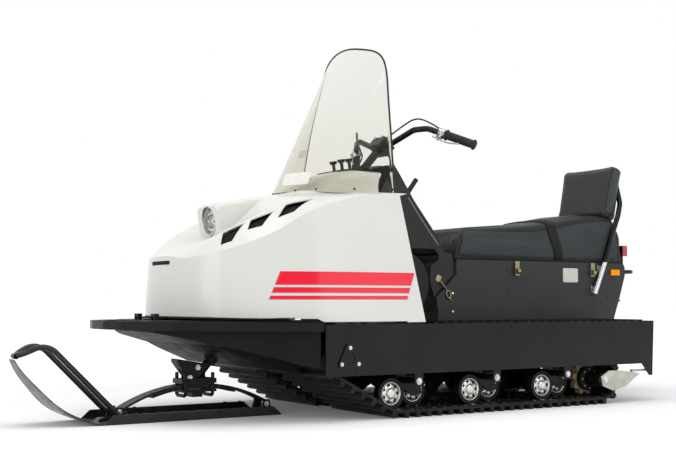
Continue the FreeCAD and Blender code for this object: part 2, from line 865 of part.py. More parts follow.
def make_beam(s):
    """The beam between the tracks, with the hangers that carry the bogie pins."""
    piece = Piece("centre_beam")
    under = s.deck_top - s.deck_thick
    side = box_corners(s.beam_rear_x, s.beam_bottom, s.beam_front_x, under)
    piece.add("XZ", -s.beam_half, s.beam_half, [side])
    last_x = s.bogie_front_x - s.bogie_step * (s.bogie_count - 1)
    hanger_foot = s.bogie_pin_z - s.hanger_width / 2
    hanger = box_corners(last_x - s.hanger_width / 2, hanger_foot, last_x + s.hanger_width / 2, s.beam_bottom)
    lug = piece.add("XZ", -s.beam_half, s.beam_half, [hanger])
    piece.repeat(lug, "X", s.bogie_step * (s.bogie_count - 1), s.bogie_count)
    rear = box_corners(
        s.rear_axle_x - s.hanger_width, rear_axle_z(s) - s.hanger_width / 2,
        s.rear_axle_x + s.hanger_width, s.beam_bottom,
    )
    piece.add("XZ", -s.beam_half, s.beam_half, [rear])
    low, high = s.beam_bottom + s.beam_flange, under - s.beam_flange
    for start, end in ((s.beam_web, s.beam_half), (-s.beam_half, -s.beam_web)):
        bay = box_corners(s.beam_rear_x - s.cut_overrun, low, s.beam_front_x + s.cut_overrun, high)
        piece.cut("XZ", start, end, [bay])
    bores = [((s.drive_axle_x, s.drive_axle_z), s.axle_radius + s.fit_gap)]
    bores.append(((s.rear_axle_x, rear_axle_z(s)), s.axle_radius + s.fit_gap))
    for number in range(int(float(s.bogie_count))):
        bores.append(((s.bogie_front_x - s.bogie_step * number, s.bogie_pin_z), s.bogie_pin_radius + s.fit_gap))
    piece.cut("XZ", -s.beam_half, s.beam_half, circles=bores)
    return piece.body


def rear_axle_z(s):
    """Height of the rear axle, with the loop's lower run flat on the floor."""
    return s.belt_thick + s.shoe_height + s.loop_radius


def wheel_z(s):
    """Height of the bogie wheels, which roll on the loop's lower run."""
    return s.belt_thick + s.shoe_height + s.wheel_radius


def make_hitch(s):
    """The tow plate at the deck's rear, with its upright pin bore."""
    piece = Piece("tow_hitch")
    half = s.hitch_width / 2
    tail = s.deck_rear_x - s.hitch_length
    plan = [
        (s.beam_rear_x, -half),
        (s.beam_rear_x, half),
        (tail + half, half),
        (tail, half / 2),
        (tail, -half / 2),
        (tail + half, -half),
    ]
    under = s.deck_top - s.deck_thick
    piece.add("XY", under - s.hitch_thick, under, [plan])
    piece.cut("XY", under - s.hitch_thick, under, circles=[((tail + half / 2, 0), s.hitch_bore / 2)])
    return piece.body


class Loop:
    """The track's inner line: four straight runs joined by arcs round the axles."""

    def __init__(self, s):
        inner = float(s.loop_radius)
        floor = float(s.belt_thick) + float(s.shoe_height)
        drive = (float(s.drive_axle_x), float(s.drive_axle_z), inner)
        rear = (float(s.rear_axle_x), floor + inner, inner)
        front_wheel = (
            float(s.bogie_front_x + s.bogie_half), floor + float(s.wheel_radius), float(s.wheel_radius),
        )
        rounds = (rear, drive, front_wheel)
        self.runs = []
        tangents = []
        for first, second in zip(rounds, rounds[1:] + rounds[:1]):
            tangents.append(self.tangent(first, second))
        for number, circle in enumerate(rounds):
            arriving = tangents[number - 1]
            leaving = tangents[number]
            self.runs.append(("arc", circle, arriving[2], leaving[2]))
            self.runs.append(("line", leaving[0], leaving[1], leaving[2]))
        self.lengths = [self.run_length(run) for run in self.runs]
        self.length = sum(self.lengths)

    @staticmethod
    def tangent(first, second):
        """The outer tangent between two circles, with the loop run clockwise."""
        run = (second[0] - first[0], second[1] - first[1])
        span = math.hypot(*run)
        heading = math.atan2(run[1], run[0])
        normal = heading + math.pi / 2 + math.asin((second[2] - first[2]) / span)
        ends = []
        for across, up, radius in (first, second):
            ends.append((across + radius * math.cos(normal), up + radius * math.sin(normal)))
        return ends[0], ends[1], normal

    @staticmethod
    def run_length(run):
        """Length of one arc or straight run."""
        if run[0] == "arc":
            return run[1][2] * ((run[2] - run[3]) % (2 * math.pi))
        return math.dist(run[1], run[2])

    def point(self, distance, lift):
        """The place this far round the loop, lifted outwards from its inner line."""
        distance %= self.length
        for run, length in zip(self.runs, self.lengths):
            if distance <= length:
                break
            distance -= length
        if run[0] == "arc":
            circle = run[1]
            normal = run[2] - distance / circle[2]
            reach = circle[2] + lift
            return circle[0] + reach * math.cos(normal), circle[1] + reach * math.sin(normal)
        share = distance / length
        across = run[1][0] + (run[2][0] - run[1][0]) * share + lift * math.cos(run[3])
        up = run[1][1] + (run[2][1] - run[1][1]) * share + lift * math.sin(run[3])
        return across, up

    def inner_wire(self, side):
        """The inner line as exact arcs and straight edges."""
        edges = []
        for run, length in zip(self.runs, self.lengths):
            if run[0] == "line":
                start, end = run[1], run[2]
                edges.append(
                    Part.LineSegment(Vector(start[0], side, start[1]), Vector(end[0], side, end[1])).toShape()
                )
                continue
            circle = run[1]
            turn = length / circle[2]
            points = []
            for share in (0, 0.5, 1):
                normal = run[2] - turn * share
                points.append(
                    Vector(
                        circle[0] + circle[2] * math.cos(normal), side,
                        circle[1] + circle[2] * math.sin(normal),
                    )
                )
            edges.append(Part.Arc(*points).toShape())
        return Part.Wire(Part.__sortEdges__(edges))


def make_tracks(s):
    """The two belts, with their cross shoes standing in the outline."""
    loop = Loop(s)
    count = int(float(s.shoe_count))
    pitch = loop.length / count
    low = float(s.track_mid_y) - float(s.track_width) / 2
    base = float(s.belt_thick)
    crest = base + float(s.shoe_height)
    outline = []
    for number in range(count):
        middle = pitch * number
        for offset, lift in (
            (-float(s.shoe_root) / 2, base),
            (-float(s.shoe_crest) / 2, crest),
            (float(s.shoe_crest) / 2, crest),
            (float(s.shoe_root) / 2, base),
        ):
            across, up = loop.point(middle + offset, lift)
            outline.append(Vector(across, low, up))
    outer = Part.Face(Part.makePolygon(outline + outline[:1]))
    inner = Part.Face(loop.inner_wire(low))
    belt = outer.cut(inner).Faces[0].extrude(Vector(0, float(s.track_width), 0))
    left = shape_piece("track_left", belt)
    return left, mirrored("track_right", left), loop


def sprocket_places(s):
    """Distances of the sprockets from the machine's middle, inner first."""
    return s.track_mid_y - s.sprocket_offset, s.track_mid_y + s.sprocket_offset


def axle_body(s, label, end):
    """A cross shaft with two toothed sprockets for each track."""
    piece = Piece(label)
    section = [(-end, 0), (end, 0), (end, s.axle_radius), (-end, s.axle_radius)]
    piece.revolve("YZ", "H_Axis", [section])
    tip = s.loop_radius - s.fit_gap
    root = s.sprocket_root_radius
    for centre in sprocket_places(s):
        for side in (centre, -centre):
            low = side - s.sprocket_width / 2
            high = side + s.sprocket_width / 2
            piece.add("XZ", low, high, circles=[((0, 0), root)])
            tooth = [
                (-s.tooth_root / 2, root - s.sheet_wall),
                (s.tooth_root / 2, root - s.sheet_wall),
                (s.tooth_crest / 2, tip - s.sheet_wall),
                (-s.tooth_crest / 2, tip - s.sheet_wall),
            ]
            teeth = piece.add("XZ", low, high, [tooth])
            piece.around(teeth, "Y", s.sprocket_teeth)
    return piece


def make_axles(s):
    """The drive axle in front and the tension axle at the rear."""
    end = skirt_faces(s)[0] - s.fit_gap
    drive = axle_body(s, "drive_axle", end)
    drive.place(s.drive_axle_x, 0, s.drive_axle_z)
    inner_y = s.tension_plate_y - s.tension_plate_thick - s.fit_gap
    rear = axle_body(s, "rear_axle", inner_y)
    for side in (1, -1):
        hub_low = sprocket_places(s)[1] + s.sprocket_width / 2
        low = hub_low if side > 0 else -hub_low - s.hub_width
        rear.add("XZ", low, low + s.hub_width, circles=[((0, 0), s.hub_radius)])
    rear.place(s.rear_axle_x, 0, rear_axle_z(s))
    return drive.body, rear.body


def make_wheels(s):
    """The rubber-tyred bogie wheels that carry the machine on its belts."""
    half = s.wheel_width / 2
    rim = s.rim_radius
    section = [
        (-half, 0), (half - s.rim_depth, 0), (half - s.rim_depth, rim - s.rim_depth), (half, rim),
        (half, s.wheel_radius), (-half, s.wheel_radius),
    ]
    rows = []
    for label, ahead, offset in (
        ("wide_wheels", 1, s.wide_wheel_offset), ("narrow_wheels", -1, s.narrow_wheel_offset),
    ):
        for row, facing in ((offset, 1), (-offset, -1)):
            piece = Piece(f"{label}_{'outer' if facing > 0 else 'inner'}")
            outline = section if facing > 0 else [
                (-side, up) if not is_zero(up) else (-side, 0) for side, up in section
            ]
            wheel = piece.revolve("YZ", "H_Axis", [outline])
            piece.repeat(wheel, "X", s.bogie_step * (s.bogie_count - 1), s.bogie_count)
            last_x = s.bogie_front_x - s.bogie_step * (s.bogie_count - 1)
            piece.place(last_x + s.bogie_half * ahead, s.track_mid_y + row, wheel_z(s))
            rows.append(piece.body)
            rows.append(mirrored(f"{piece.body.Name}_right", piece.body))
    return join("bogie_wheels", rows)


def make_bogies(s):
    """The rocking arms of the bogies with their cross pins, and the hangers at the skirts."""
    piece = Piece("bogies")
    last_x = s.bogie_front_x - s.bogie_step * (s.bogie_count - 1)
    row_run = s.bogie_step * (s.bogie_count - 1)
    end = skirt_faces(s)[0] - s.fit_gap
    height = s.bogie_arm_height / 2
    pin_z = s.bogie_pin_z
    low_z = wheel_z(s)
    arm = [
        (last_x - s.bogie_half - height, low_z - height / 2),
        (last_x - s.bogie_half + height, low_z - height),
        (last_x, pin_z - s.bogie_arm_height * 0.7),
        (last_x + s.bogie_half - height, low_z - height),
        (last_x + s.bogie_half + height, low_z - height / 2),
        (last_x + s.bogie_half + height, low_z + height / 2),
        (last_x + height, pin_z + height),
        (last_x - height, pin_z + height),
        (last_x - s.bogie_half - height, low_z + height / 2),
    ]
    axle = piece.add("XZ", -end, end, circles=[((last_x, pin_z), s.bogie_pin_radius)])
    piece.repeat(axle, "X", row_run, s.bogie_count)
    half = s.bogie_arm_thick / 2
    for side in (1, -1):
        for offset in (s.bogie_arm_offset, -s.bogie_arm_offset):
            middle = (s.track_mid_y + offset) * side
            plate = piece.add("XZ", middle - half, middle + half, [arm])
            piece.repeat(plate, "X", row_run, s.bogie_count)
            outward = 1 if float(offset) * side > 0 else -1
            wide_face = (s.wide_wheel_offset - s.wheel_width / 2 - s.bogie_arm_offset) * outward + middle
            narrow_face = (s.narrow_wheel_offset + s.wheel_width / 2 - s.bogie_arm_offset) * outward + middle
            for face, ahead in ((wide_face, 1), (narrow_face, -1)):
                low, high = (middle, face) if float(face) > float(middle) else (face, middle)
                centre = (last_x + s.bogie_half * ahead, low_z)
                stub = piece.add("XZ", low, high, circles=[(centre, s.wheel_bore)])
                piece.repeat(stub, "X", row_run, s.bogie_count)
    return piece.body


def make_hangers(s):
    """The plates inside the skirts that hold the outer ends of the bogie pins."""
    piece = Piece("pin_hangers_left")
    inner = skirt_faces(s)[0]
    last_x = s.bogie_front_x - s.bogie_step * (s.bogie_count - 1)
    half = s.hanger_width / 2
    plate = box_corners(last_x - half, s.bogie_pin_z - half, last_x + half, s.deck_top - s.deck_thick)
    hanger = piece.add("XZ", inner - s.hanger_thick, inner, [plate])
    bore = piece.cut(
        "XZ", inner - s.hanger_thick, inner,
        circles=[((last_x, s.bogie_pin_z), s.bogie_pin_radius + s.fit_gap)],
    )
    run = s.bogie_step * (s.bogie_count - 1)
    pattern = piece.repeat(hanger, "X", run, s.bogie_count)
    pattern.Originals = [hanger, bore]
    return join("pin_hangers", [piece.body, mirrored("pin_hangers_right", piece.body)])


def make_bearings(s):
    """The three-cornered bearing flanges of the drive axle, outside the skirts."""
    piece = Piece("bearing_left")
    outer = skirt_faces(s)[1]
    half = s.bearing_flange_half
    low = s.drive_axle_z - s.bearing_flange_height * 0.4
    high = s.drive_axle_z + s.bearing_flange_height * 0.6
    corner = s.bearing_corner
    plate = [
        (s.drive_axle_x - half, low), (s.drive_axle_x + half, low), (s.drive_axle_x + half, low + corner),
        (s.drive_axle_x + corner, high), (s.drive_axle_x - corner, high), (s.drive_axle_x - half, low + corner),
    ]
    piece.add("XZ", outer, outer + s.bearing_flange_thick, [plate])
    face = outer + s.bearing_flange_thick
    centre = (s.drive_axle_x, s.drive_axle_z)
    piece.cut("XZ", face - s.bearing_recess, face, circles=[(centre, s.bearing_boss_radius)])
    return join("axle_bearings", [piece.body, mirrored("bearing_right", piece.body)])


def make_tension(s):
    """The plates that carry the rear axle, with the bolts that pull the belts tight."""
    piece = Piece("tension_plate_left")
    face = s.tension_plate_y
    base_x = s.rear_axle_x + s.tension_plate_lead
    base_z = rear_axle_z(s) - s.tension_plate_height * 0.55
    side = scaled(TENSION_PLATE_SHARES, base_x, -s.tension_plate_reach, base_z, s.tension_plate_height)
    piece.add("XZ", face - s.tension_plate_thick, face, [side])
    plates = [piece.body, mirrored("tension_plate_right", piece.body)]
    tail = s.deck_rear_x + s.skirt_tail_lean + s.sheet_wall
    start = Vector(tail, face - s.tension_plate_thick / 2, s.tension_bolt_z)
    end = start + Vector(s.tension_bolt_length, 0, 0)
    bolt = pin(start, end, s.tension_bolt_radius)
    bolts = shape_piece("tension_bolts", both_sides(bolt))
    return join("tension_plates", plates + [bolts])


def make_seat_box(s):
    """The hollow sheet box on the deck, which the seat closes like a lid."""
    outline = scaled(
        BOX_SIDE_SHARES, s.box_front_x, s.box_rear_x - s.box_front_x, s.deck_top, s.box_top - s.deck_top,
    )
    piece = Piece("seat_box")
    piece.add("XZ", -s.box_half, s.box_half, [outline])
    document.recompute()
    tip = piece.body.Tip
    mouth = [
        f"Face{number}" for number, face in enumerate(tip.Shape.Faces, 1)
        if face.BoundBox.ZMin > float(s.box_top - s.sheet_wall * 2)
    ]
    shell = piece.body.newObject("PartDesign::Thickness", "seat_box_walls")
    shell.Base = (tip, mouth)
    shell.Reversed = True
    shell.Join = "Intersection"
    shell.setExpression("Value", s.sheet_wall.text)
    piece.body.Tip = shell
    return piece.body


def console_corners(s, shares):
    """Corners of the console's side from a table of shares."""
    run = s.console_rear_x - s.console_front_x
    return scaled(shares, s.console_front_x, run, s.deck_top, s.console_top - s.deck_top)


def make_console(s):
    """The sheet console between the hood and the seat, open at its sides and below."""
    piece = Piece("console")
    cover = console_corners(s, CONSOLE_COVER_SHARES)
    side = console_corners(s, CONSOLE_FRONT_SHARES) + cover + console_corners(s, CONSOLE_HEEL_SHARES)
    inner = s.console_half - s.sheet_wall
    piece.add("XZ", inner, s.console_half, [side])
    under = [(across + s.sheet_wall, up - s.sheet_wall) for across, up in cover]
    piece.add("XZ", -inner, inner, [cover + under[::-1]])
    piece.add("XZ", -s.console_half, -inner, [side])
    return piece.body


def make_dash(s):
    """The plate on top of the console, which the hood's cowl surrounds."""
    piece = Piece("dash_panel")
    head = console_corners(s, CONSOLE_COVER_SHARES[:1])[0]
    lift = s.sheet_wall + s.fit_gap
    side = [
        (s.dash_rear_x, head[1] + s.fit_gap),
        (s.dash_front_x, s.dash_front_z),
        (s.dash_front_x, s.dash_front_z + s.sheet_wall),
        (s.dash_rear_x, head[1] + lift),
    ]
    piece.add("XZ", -s.dash_half, s.dash_half, [side])
    plate = piece.body
    hole = shape_piece("dash_column_hole", column_cylinder(s, s.column_radius + s.dash_hole_gap))
    return combine("Cut", "dash_plate", plate, hole)


def dash_height(s, across):
    """Top of the dash plate at a place along the machine."""
    head = console_corners(s, CONSOLE_COVER_SHARES[:1])[0]
    rear_top = float(head[1] + s.sheet_wall + s.fit_gap)
    front_top = float(s.dash_front_z + s.sheet_wall)
    share = (float(across) - float(s.dash_rear_x)) / float(s.dash_front_x - s.dash_rear_x)
    return rear_top + (front_top - rear_top) * share


def make_knobs(s):
    """The two pull knobs and the key switch on the dash."""
    shapes = []
    rear = Vector(s.dash_rear_x, 0, dash_height(s, s.dash_rear_x))
    front = Vector(s.dash_front_x, 0, dash_height(s, s.dash_front_x))
    upward = (front - rear).cross(Vector(0, 1, 0)).normalize()
    for ahead, side in DASH_KNOB_SHARES:
        level = rear + (front - rear) * ahead + upward * float(s.fit_gap)
        foot = level + Vector(0, float(s.dash_half) * side, 0)
        stem_top = foot + upward * float(s.knob_height)
        stem = pin(foot, stem_top, s.knob_stem_radius)
        head = Part.makeCone(s.knob_stem_radius * 2, s.knob_radius, s.knob_stem_radius * 2, stem_top, upward)
        shapes.append(stem.fuse(head))
    return shape_piece("dash_knobs", Part.makeCompound(shapes))


def make_choke(s):
    """The lever that stands up from the console's left side."""
    base = console_corners(s, CONSOLE_COVER_SHARES[1:3])
    foot_x = float(base[0][0]) * 0.25 + float(base[1][0]) * 0.75
    foot_z = float(base[0][1]) * 0.25 + float(base[1][1]) * 0.75
    side = float(s.console_half - s.choke_radius * 3)
    slope = Vector(float(base[0][0] - base[1][0]), 0, float(base[0][1] - base[1][1])).normalize()
    out = Vector(-slope.z, 0, slope.x)
    foot = Vector(foot_x, side, foot_z) + out * float(s.fit_gap)
    lean = (out + slope * 0.3).normalize()
    boss = Part.makeCylinder(s.choke_radius * 1.5, s.choke_radius, foot, out)
    arm_foot = foot + out * float(s.choke_radius / 2)
    arm = pin(arm_foot, foot + lean * float(s.choke_length), s.choke_radius)
    return shape_piece("choke_lever", boss.fuse(arm))


def make_engine(s):
    """The engine as one plain block under the hood."""
    piece = Piece("engine_block")
    half = s.engine_width / 2
    plan = box_corners(s.engine_rear_x, -half, s.engine_rear_x + s.engine_length, half)
    piece.add("XY", s.deck_top, s.deck_top + s.engine_height, [plan])
    return piece.body


def make_guard(s):
    """The round guard of the belt drive, on the engine's left side."""
    piece = Piece("clutch_guard")
    low = s.engine_width / 2
    piece.add("XZ", low, low + s.guard_width, circles=[((s.guard_x, s.guard_z), s.guard_radius)])
    return piece.body


def make_latches(s):
    """The toggle latches of the seat and the strap latch of the console."""
    shapes = []
    half = s.latch_width / 2
    for place in (s.latch_front_x, s.latch_rear_x):
        low = Vector(place - half, s.box_half, s.latch_z - s.latch_height / 2)
        plate = Part.makeBox(s.latch_width, s.latch_depth, s.latch_height, low)
        start = Vector(place - half * 0.7, s.box_half + half + s.fit_gap, s.latch_z - s.latch_height * 0.2)
        knob = Part.makeCylinder(half, s.latch_width * 0.7, start, Vector(1, 0, 0))
        shapes.append(plate.fuse(knob))
    return shape_piece("seat_latches", both_sides(Part.makeCompound(shapes)))


def make_reflectors(s):
    """The reflectors on the seat box's sides."""
    low = Vector(s.reflector_x - s.reflector_length / 2, s.box_half, s.reflector_z - s.reflector_height / 2)
    plate = Part.makeBox(s.reflector_length, s.reflector_depth, s.reflector_height, low)
    return shape_piece("side_reflectors", both_sides(plate))


def seat_form(s, label, grow):
    """The seat's padded form, grown on all sides by a named thickness."""
    outline = scaled(SEAT_SIDE_SHARES, s.seat_front_x, -s.seat_length, s.box_top + s.fit_gap, s.seat_height)
    top = [(across, up + grow) for across, up in outline[1:-1]]
    piece = Piece(label)
    piece.add("XZ", -(s.seat_half + grow), s.seat_half + grow, [outline[:1] + top + outline[-1:]])
    limit = float(s.box_top + s.seat_height * 0.5)
    piece.round(
        s.seat_edge_radius,
        lambda edge: (
            edge.BoundBox.ZMin > limit
            and edge.BoundBox.YLength < float(s.fit_gap)
            and edge.Length > float(s.seat_edge_radius)
        ),
    )
    return piece.body


def make_seat(s):
    """The seat and the webbing strap that crosses it."""
    seat = seat_form(s, "seat", 0 * s.fit_gap)
    cavity = seat_form(s, "strap_inside", s.fit_gap)
    band = seat_form(s, "strap_outside", s.strap_thick)
    low = Piece("strap_slab")
    height = s.seat_height * 1.5
    slab_side = box_corners(s.strap_x - s.strap_width, s.box_top + s.fit_gap, s.strap_x, s.box_top + height)
    low.add("XZ", -s.seat_half * 2, s.seat_half * 2, [slab_side])
    cut_band = combine("Common", "strap_band", band, low.body)
    strap = combine("Cut", "seat_strap", cut_band, cavity)
    return seat, strap


def make_backrest(s):
    """The backrest pad, leaning back above the seat's rear."""
    piece = Piece("backrest_pad")
    plan = box_corners(-s.rest_thick, 0, 0, s.rest_height)
    piece.add("XZ", -s.rest_half, s.rest_half, [plan])
    piece.round(s.rest_radius, lambda edge: True)
    piece.place(s.rest_x, 0, s.rest_z)
    piece.body.Placement.Rotation = FreeCAD.Rotation(Vector(0, 1, 0), -float(s.rest_lean))
    return piece.body


def make_rest_frame(s):
    """The two bent tubes of the backrest, with a cross tube and their clamps on the box."""
    lean = math.radians(float(s.rest_lean))
    back = float(s.rest_thick + s.rest_tube_radius + s.fit_gap)
    height = float(s.rest_height)
    top_x = float(s.rest_x) - back * math.cos(lean) - height * 0.85 * math.sin(lean)
    top_z = float(s.rest_z) - back * math.sin(lean) + height * 0.85 * math.cos(lean)
    side = float(s.seat_half + s.rest_tube_radius + s.fit_gap)
    clamp_thick = float(s.seat_half - s.box_half)
    foot_x = float(s.rest_foot_x)
    foot_z = float(s.rest_foot_z)
    points = [
        Vector(foot_x + (top_x - foot_x) * along, side * out, foot_z + (top_z - foot_z) * up)
        for along, out, up in REST_TUBE_SHARES
    ]
    tube = rod(points, s.rest_tube_radius, s.rest_tube_bend)
    cross = pin(points[0], Vector(points[0].x, -points[0].y, points[0].z), s.rest_tube_radius)
    clamps = []
    direction = (points[-1] - points[-2]).normalize()
    for share in REST_CLAMP_SHARES:
        middle = points[-1] + (points[-2] - points[-1]) * share
        corner = Vector(
            middle.x - float(s.rest_clamp_half), float(s.box_half), middle.z - float(s.rest_clamp_half),
        )
        clamps.append(Part.makeBox(s.rest_clamp_half * 2, clamp_thick, s.rest_clamp_half * 2, corner))
    clamp_set = Part.makeCompound(clamps)
    frame = Part.makeCompound([tube, tube.mirror(Vector(0, 0, 0), Vector(0, 1, 0)), cross])
    tubes = shape_piece("backrest_tubes", frame)
    clamp_piece = shape_piece("backrest_clamps", both_sides(clamp_set))
    return [join("backrest_frame", [tubes, clamp_piece])]


def make_tail(s):
    """The tail lamp on its bracket, and the lift handle across the box's rear."""
    rear = float(s.box_rear_x - s.fit_gap)
    half = s.lamp_width / 2
    bracket_low = Vector(rear - float(s.sheet_wall), s.lamp_y - half, s.lamp_foot_z)
    bracket = Part.makeBox(s.sheet_wall, s.lamp_width, s.lamp_top_z - s.lamp_foot_z, bracket_low)
    lamp_low = Vector(rear - float(s.sheet_wall + s.lamp_depth), s.lamp_y - half, s.lamp_top_z - s.lamp_height)
    lamp = Part.makeBox(s.lamp_depth, s.lamp_width, s.lamp_height, lamp_low)
    lamp = lamp.makeFillet(
        s.lamp_corner, [edge for edge in lamp.Edges if edge.BoundBox.XMax < rear - float(s.lamp_depth)],
    )
    tail = -float(s.overall_length) / 2 + float(s.handle_radius)
    height = float(s.handle_z)
    points = [
        Vector(rear, s.handle_half, height),
        Vector(tail, s.handle_half, height),
        Vector(tail, -s.handle_half, height),
        Vector(rear, -s.handle_half, height),
    ]
    handle = rod(points, s.handle_radius, s.handle_bend)
    bracket_piece = shape_piece("lamp_bracket", bracket)
    lamp_piece = shape_piece("tail_lamp", lamp)
    return bracket_piece, lamp_piece, shape_piece("tail_handle", handle)


def hood_plan_wire(s, height, inset):
    """The hood's plan line at one height, closed behind by a straight edge."""
    share = (height - float(s.hood_bottom)) / float(s.hood_peak_z - s.hood_bottom)
    half = float(s.hood_half) - float(s.hood_wall_lean) * share - inset
    nose = float(s.hood_nose_x) - float(s.hood_nose_rake) * share - inset
    rear = float(s.hood_rear_x)
    left = [Vector(rear + (nose - rear) * along, half * side, height) for along, side in HOOD_PLAN_SHARES]
    right = [Vector(point.x, -point.y, point.z) for point in reversed(left)]
    curve = Part.BSplineCurve()
    curve.interpolate(left + [Vector(nose, 0, height)] + right)
    return Part.Wire([curve.toShape(), Part.LineSegment(right[-1], left[0]).toShape()])


def hood_top_wire(s, along, shares, inset, floor):
    """One cross section of the hood's top, closed below by straight edges."""
    across = float(s.hood_rear_x) + float(s.hood_nose_x - s.hood_rear_x) * along
    rise = float(s.hood_peak_z - s.hood_bottom)
    base = float(s.hood_bottom) - inset
    half = float(s.hood_half)
    left = [Vector(across, half * side, base + rise * up) for side, up in shares[:0:-1]]
    right = [Vector(point.x, -point.y, point.z) for point in reversed(left)]
    points = left + [Vector(across, 0, base + rise * shares[0][1])] + right
    curve = Part.BSplineCurve()
    curve.interpolate(points)
    low_left = Vector(across, points[0].y, floor)
    low_right = Vector(across, points[-1].y, floor)
    return Part.Wire([
        curve.toShape(),
        Part.LineSegment(points[-1], low_right).toShape(),
        Part.LineSegment(low_right, low_left).toShape(),
        Part.LineSegment(low_left, points[0]).toShape(),
    ])


def hood_form(s, inset, floor):
    """The hood's solid form: walls lofted upwards, met by a top lofted along the machine."""
    peak = float(s.hood_peak_z + s.cut_overrun)
    walls = Part.makeLoft([hood_plan_wire(s, floor, inset), hood_plan_wire(s, peak, inset)], True, True)
    top = Part.makeLoft(
        [hood_top_wire(s, along, shares, inset, floor) for along, shares in HOOD_TOP_SHARES], True, False,
    )
    return walls.common(top)


def nacelle_form(s, inset):
    """The lamp's housing on the hood's middle, rounded along its upper edges."""
    run = s.nacelle_front_x - s.nacelle_rear_x
    rise = s.nacelle_top - s.nacelle_bottom
    corners = [
        (s.nacelle_rear_x + run * along - inset, s.nacelle_bottom + rise * up - inset)
        for along, up in NACELLE_SIDE_SHARES
    ]
    half = float(s.nacelle_half) - inset
    block = slab([(float(across), float(up)) for across, up in corners], -half, half, "Y")
    limit = float(s.nacelle_bottom + rise * 0.8)
    rims = [
        edge for edge in block.Edges
        if edge.BoundBox.ZMin > limit and edge.BoundBox.YLength < float(s.fit_gap)
    ]
    return block.makeFillet(float(s.nacelle_corner) - inset, rims)


def make_hood(s):
    """The moulded hood: a thin shell with a cowl, a lamp housing and six vents cut through."""
    wall = float(s.hood_wall)
    over = float(s.cut_overrun)
    bottom = float(s.hood_bottom)
    outer = hood_form(s, 0, bottom).fuse(nacelle_form(s, 0))
    inner = hood_form(s, wall, bottom - over).fuse(nacelle_form(s, wall))
    shell = outer.cut(inner)
    run = s.hood_nose_x - s.hood_rear_x
    rise = s.hood_peak_z - s.hood_bottom
    half = float(s.hood_half + s.cut_overrun)
    rear = [
        (float(across), float(up)) for across, up in scaled(
            HOOD_REAR_SHARES, s.hood_rear_x, run, s.hood_bottom, rise,
        )
    ]
    behind = float(s.hood_rear_x - run)
    rear += [(rear[-1][0], rear[-1][1] + over), (behind, rear[-1][1] + over), (behind, rear[0][1])]
    shell = shell.cut(slab(rear, -half, half, "Y"))
    under = [
        (s.hood_step_x, s.hood_bottom - s.cut_overrun), (s.hood_step_x, s.hood_side_z),
        (s.hood_front_step_x, s.hood_side_z), (s.hood_front_step_x + s.cut_overrun, s.hood_front_z),
        (s.hood_nose_x, s.hood_nose_z), (s.hood_nose_x + s.cut_overrun, s.hood_bottom - s.cut_overrun),
    ]
    shell = shell.cut(slab([(float(across), float(up)) for across, up in under], -half, half, "Y"))
    notch_half = float(s.dash_half + s.cowl_gap)
    notch_front = float(s.dash_front_x + s.cowl_gap)
    notch = Part.makeBox(
        notch_front - behind, notch_half * 2, float(rise), Vector(behind, -notch_half, float(s.hood_corner_z)),
    )
    shell = shell.cut(notch)
    for vent in VENT_SHARES:
        corners = [(float(s.hood_rear_x + run * along), float(s.hood_half * side)) for along, side in vent]
        opening = slab(corners, s.hood_bottom + rise * 0.3, s.hood_peak_z, "Z")
        shell = shell.cut(both_sides(opening))
    eye = pin(
        Vector(s.nacelle_rear_x, 0, s.lamp_z), Vector(s.hood_nose_x, 0, s.lamp_z), s.lamp_radius + s.fit_gap,
    )
    shell = shell.cut(eye)
    solids = sorted(shell.Solids, key=lambda solid: solid.Volume)
    return shape_piece("hood", solids[-1]), outer


def make_headlight(s):
    """The round headlight with its domed lens, and the ring that holds it."""
    x = float(s.lamp_x)
    radius = float(s.lamp_radius - s.bezel_thick)
    centre = Vector(x, 0, s.lamp_z)
    bowl = Part.makeCone(
        radius * 0.6, radius, float(s.lamp_depth_x), centre - Vector(s.lamp_depth_x, 0, 0), Vector(1, 0, 0),
    )
    dome_rise = float(s.lamp_dome)
    sphere_radius = (radius * radius + dome_rise * dome_rise) / (2 * dome_rise)
    ball = Part.makeSphere(sphere_radius, Vector(x + dome_rise - sphere_radius, 0, s.lamp_z))
    cap = ball.common(Part.makeCylinder(radius, dome_rise, centre, Vector(1, 0, 0)))
    lens = bowl.fuse(cap).removeSplitter()
    start = centre - Vector(s.bezel_depth, 0, 0)
    ring = Part.makeCylinder(s.lamp_radius, s.bezel_depth + s.lamp_dome, start, Vector(1, 0, 0))
    hole = Part.makeCylinder(radius + float(s.fit_gap), s.bezel_depth + s.lamp_dome, start, Vector(1, 0, 0))
    return shape_piece("headlight", lens), shape_piece("headlight_ring", ring.cut(hole))


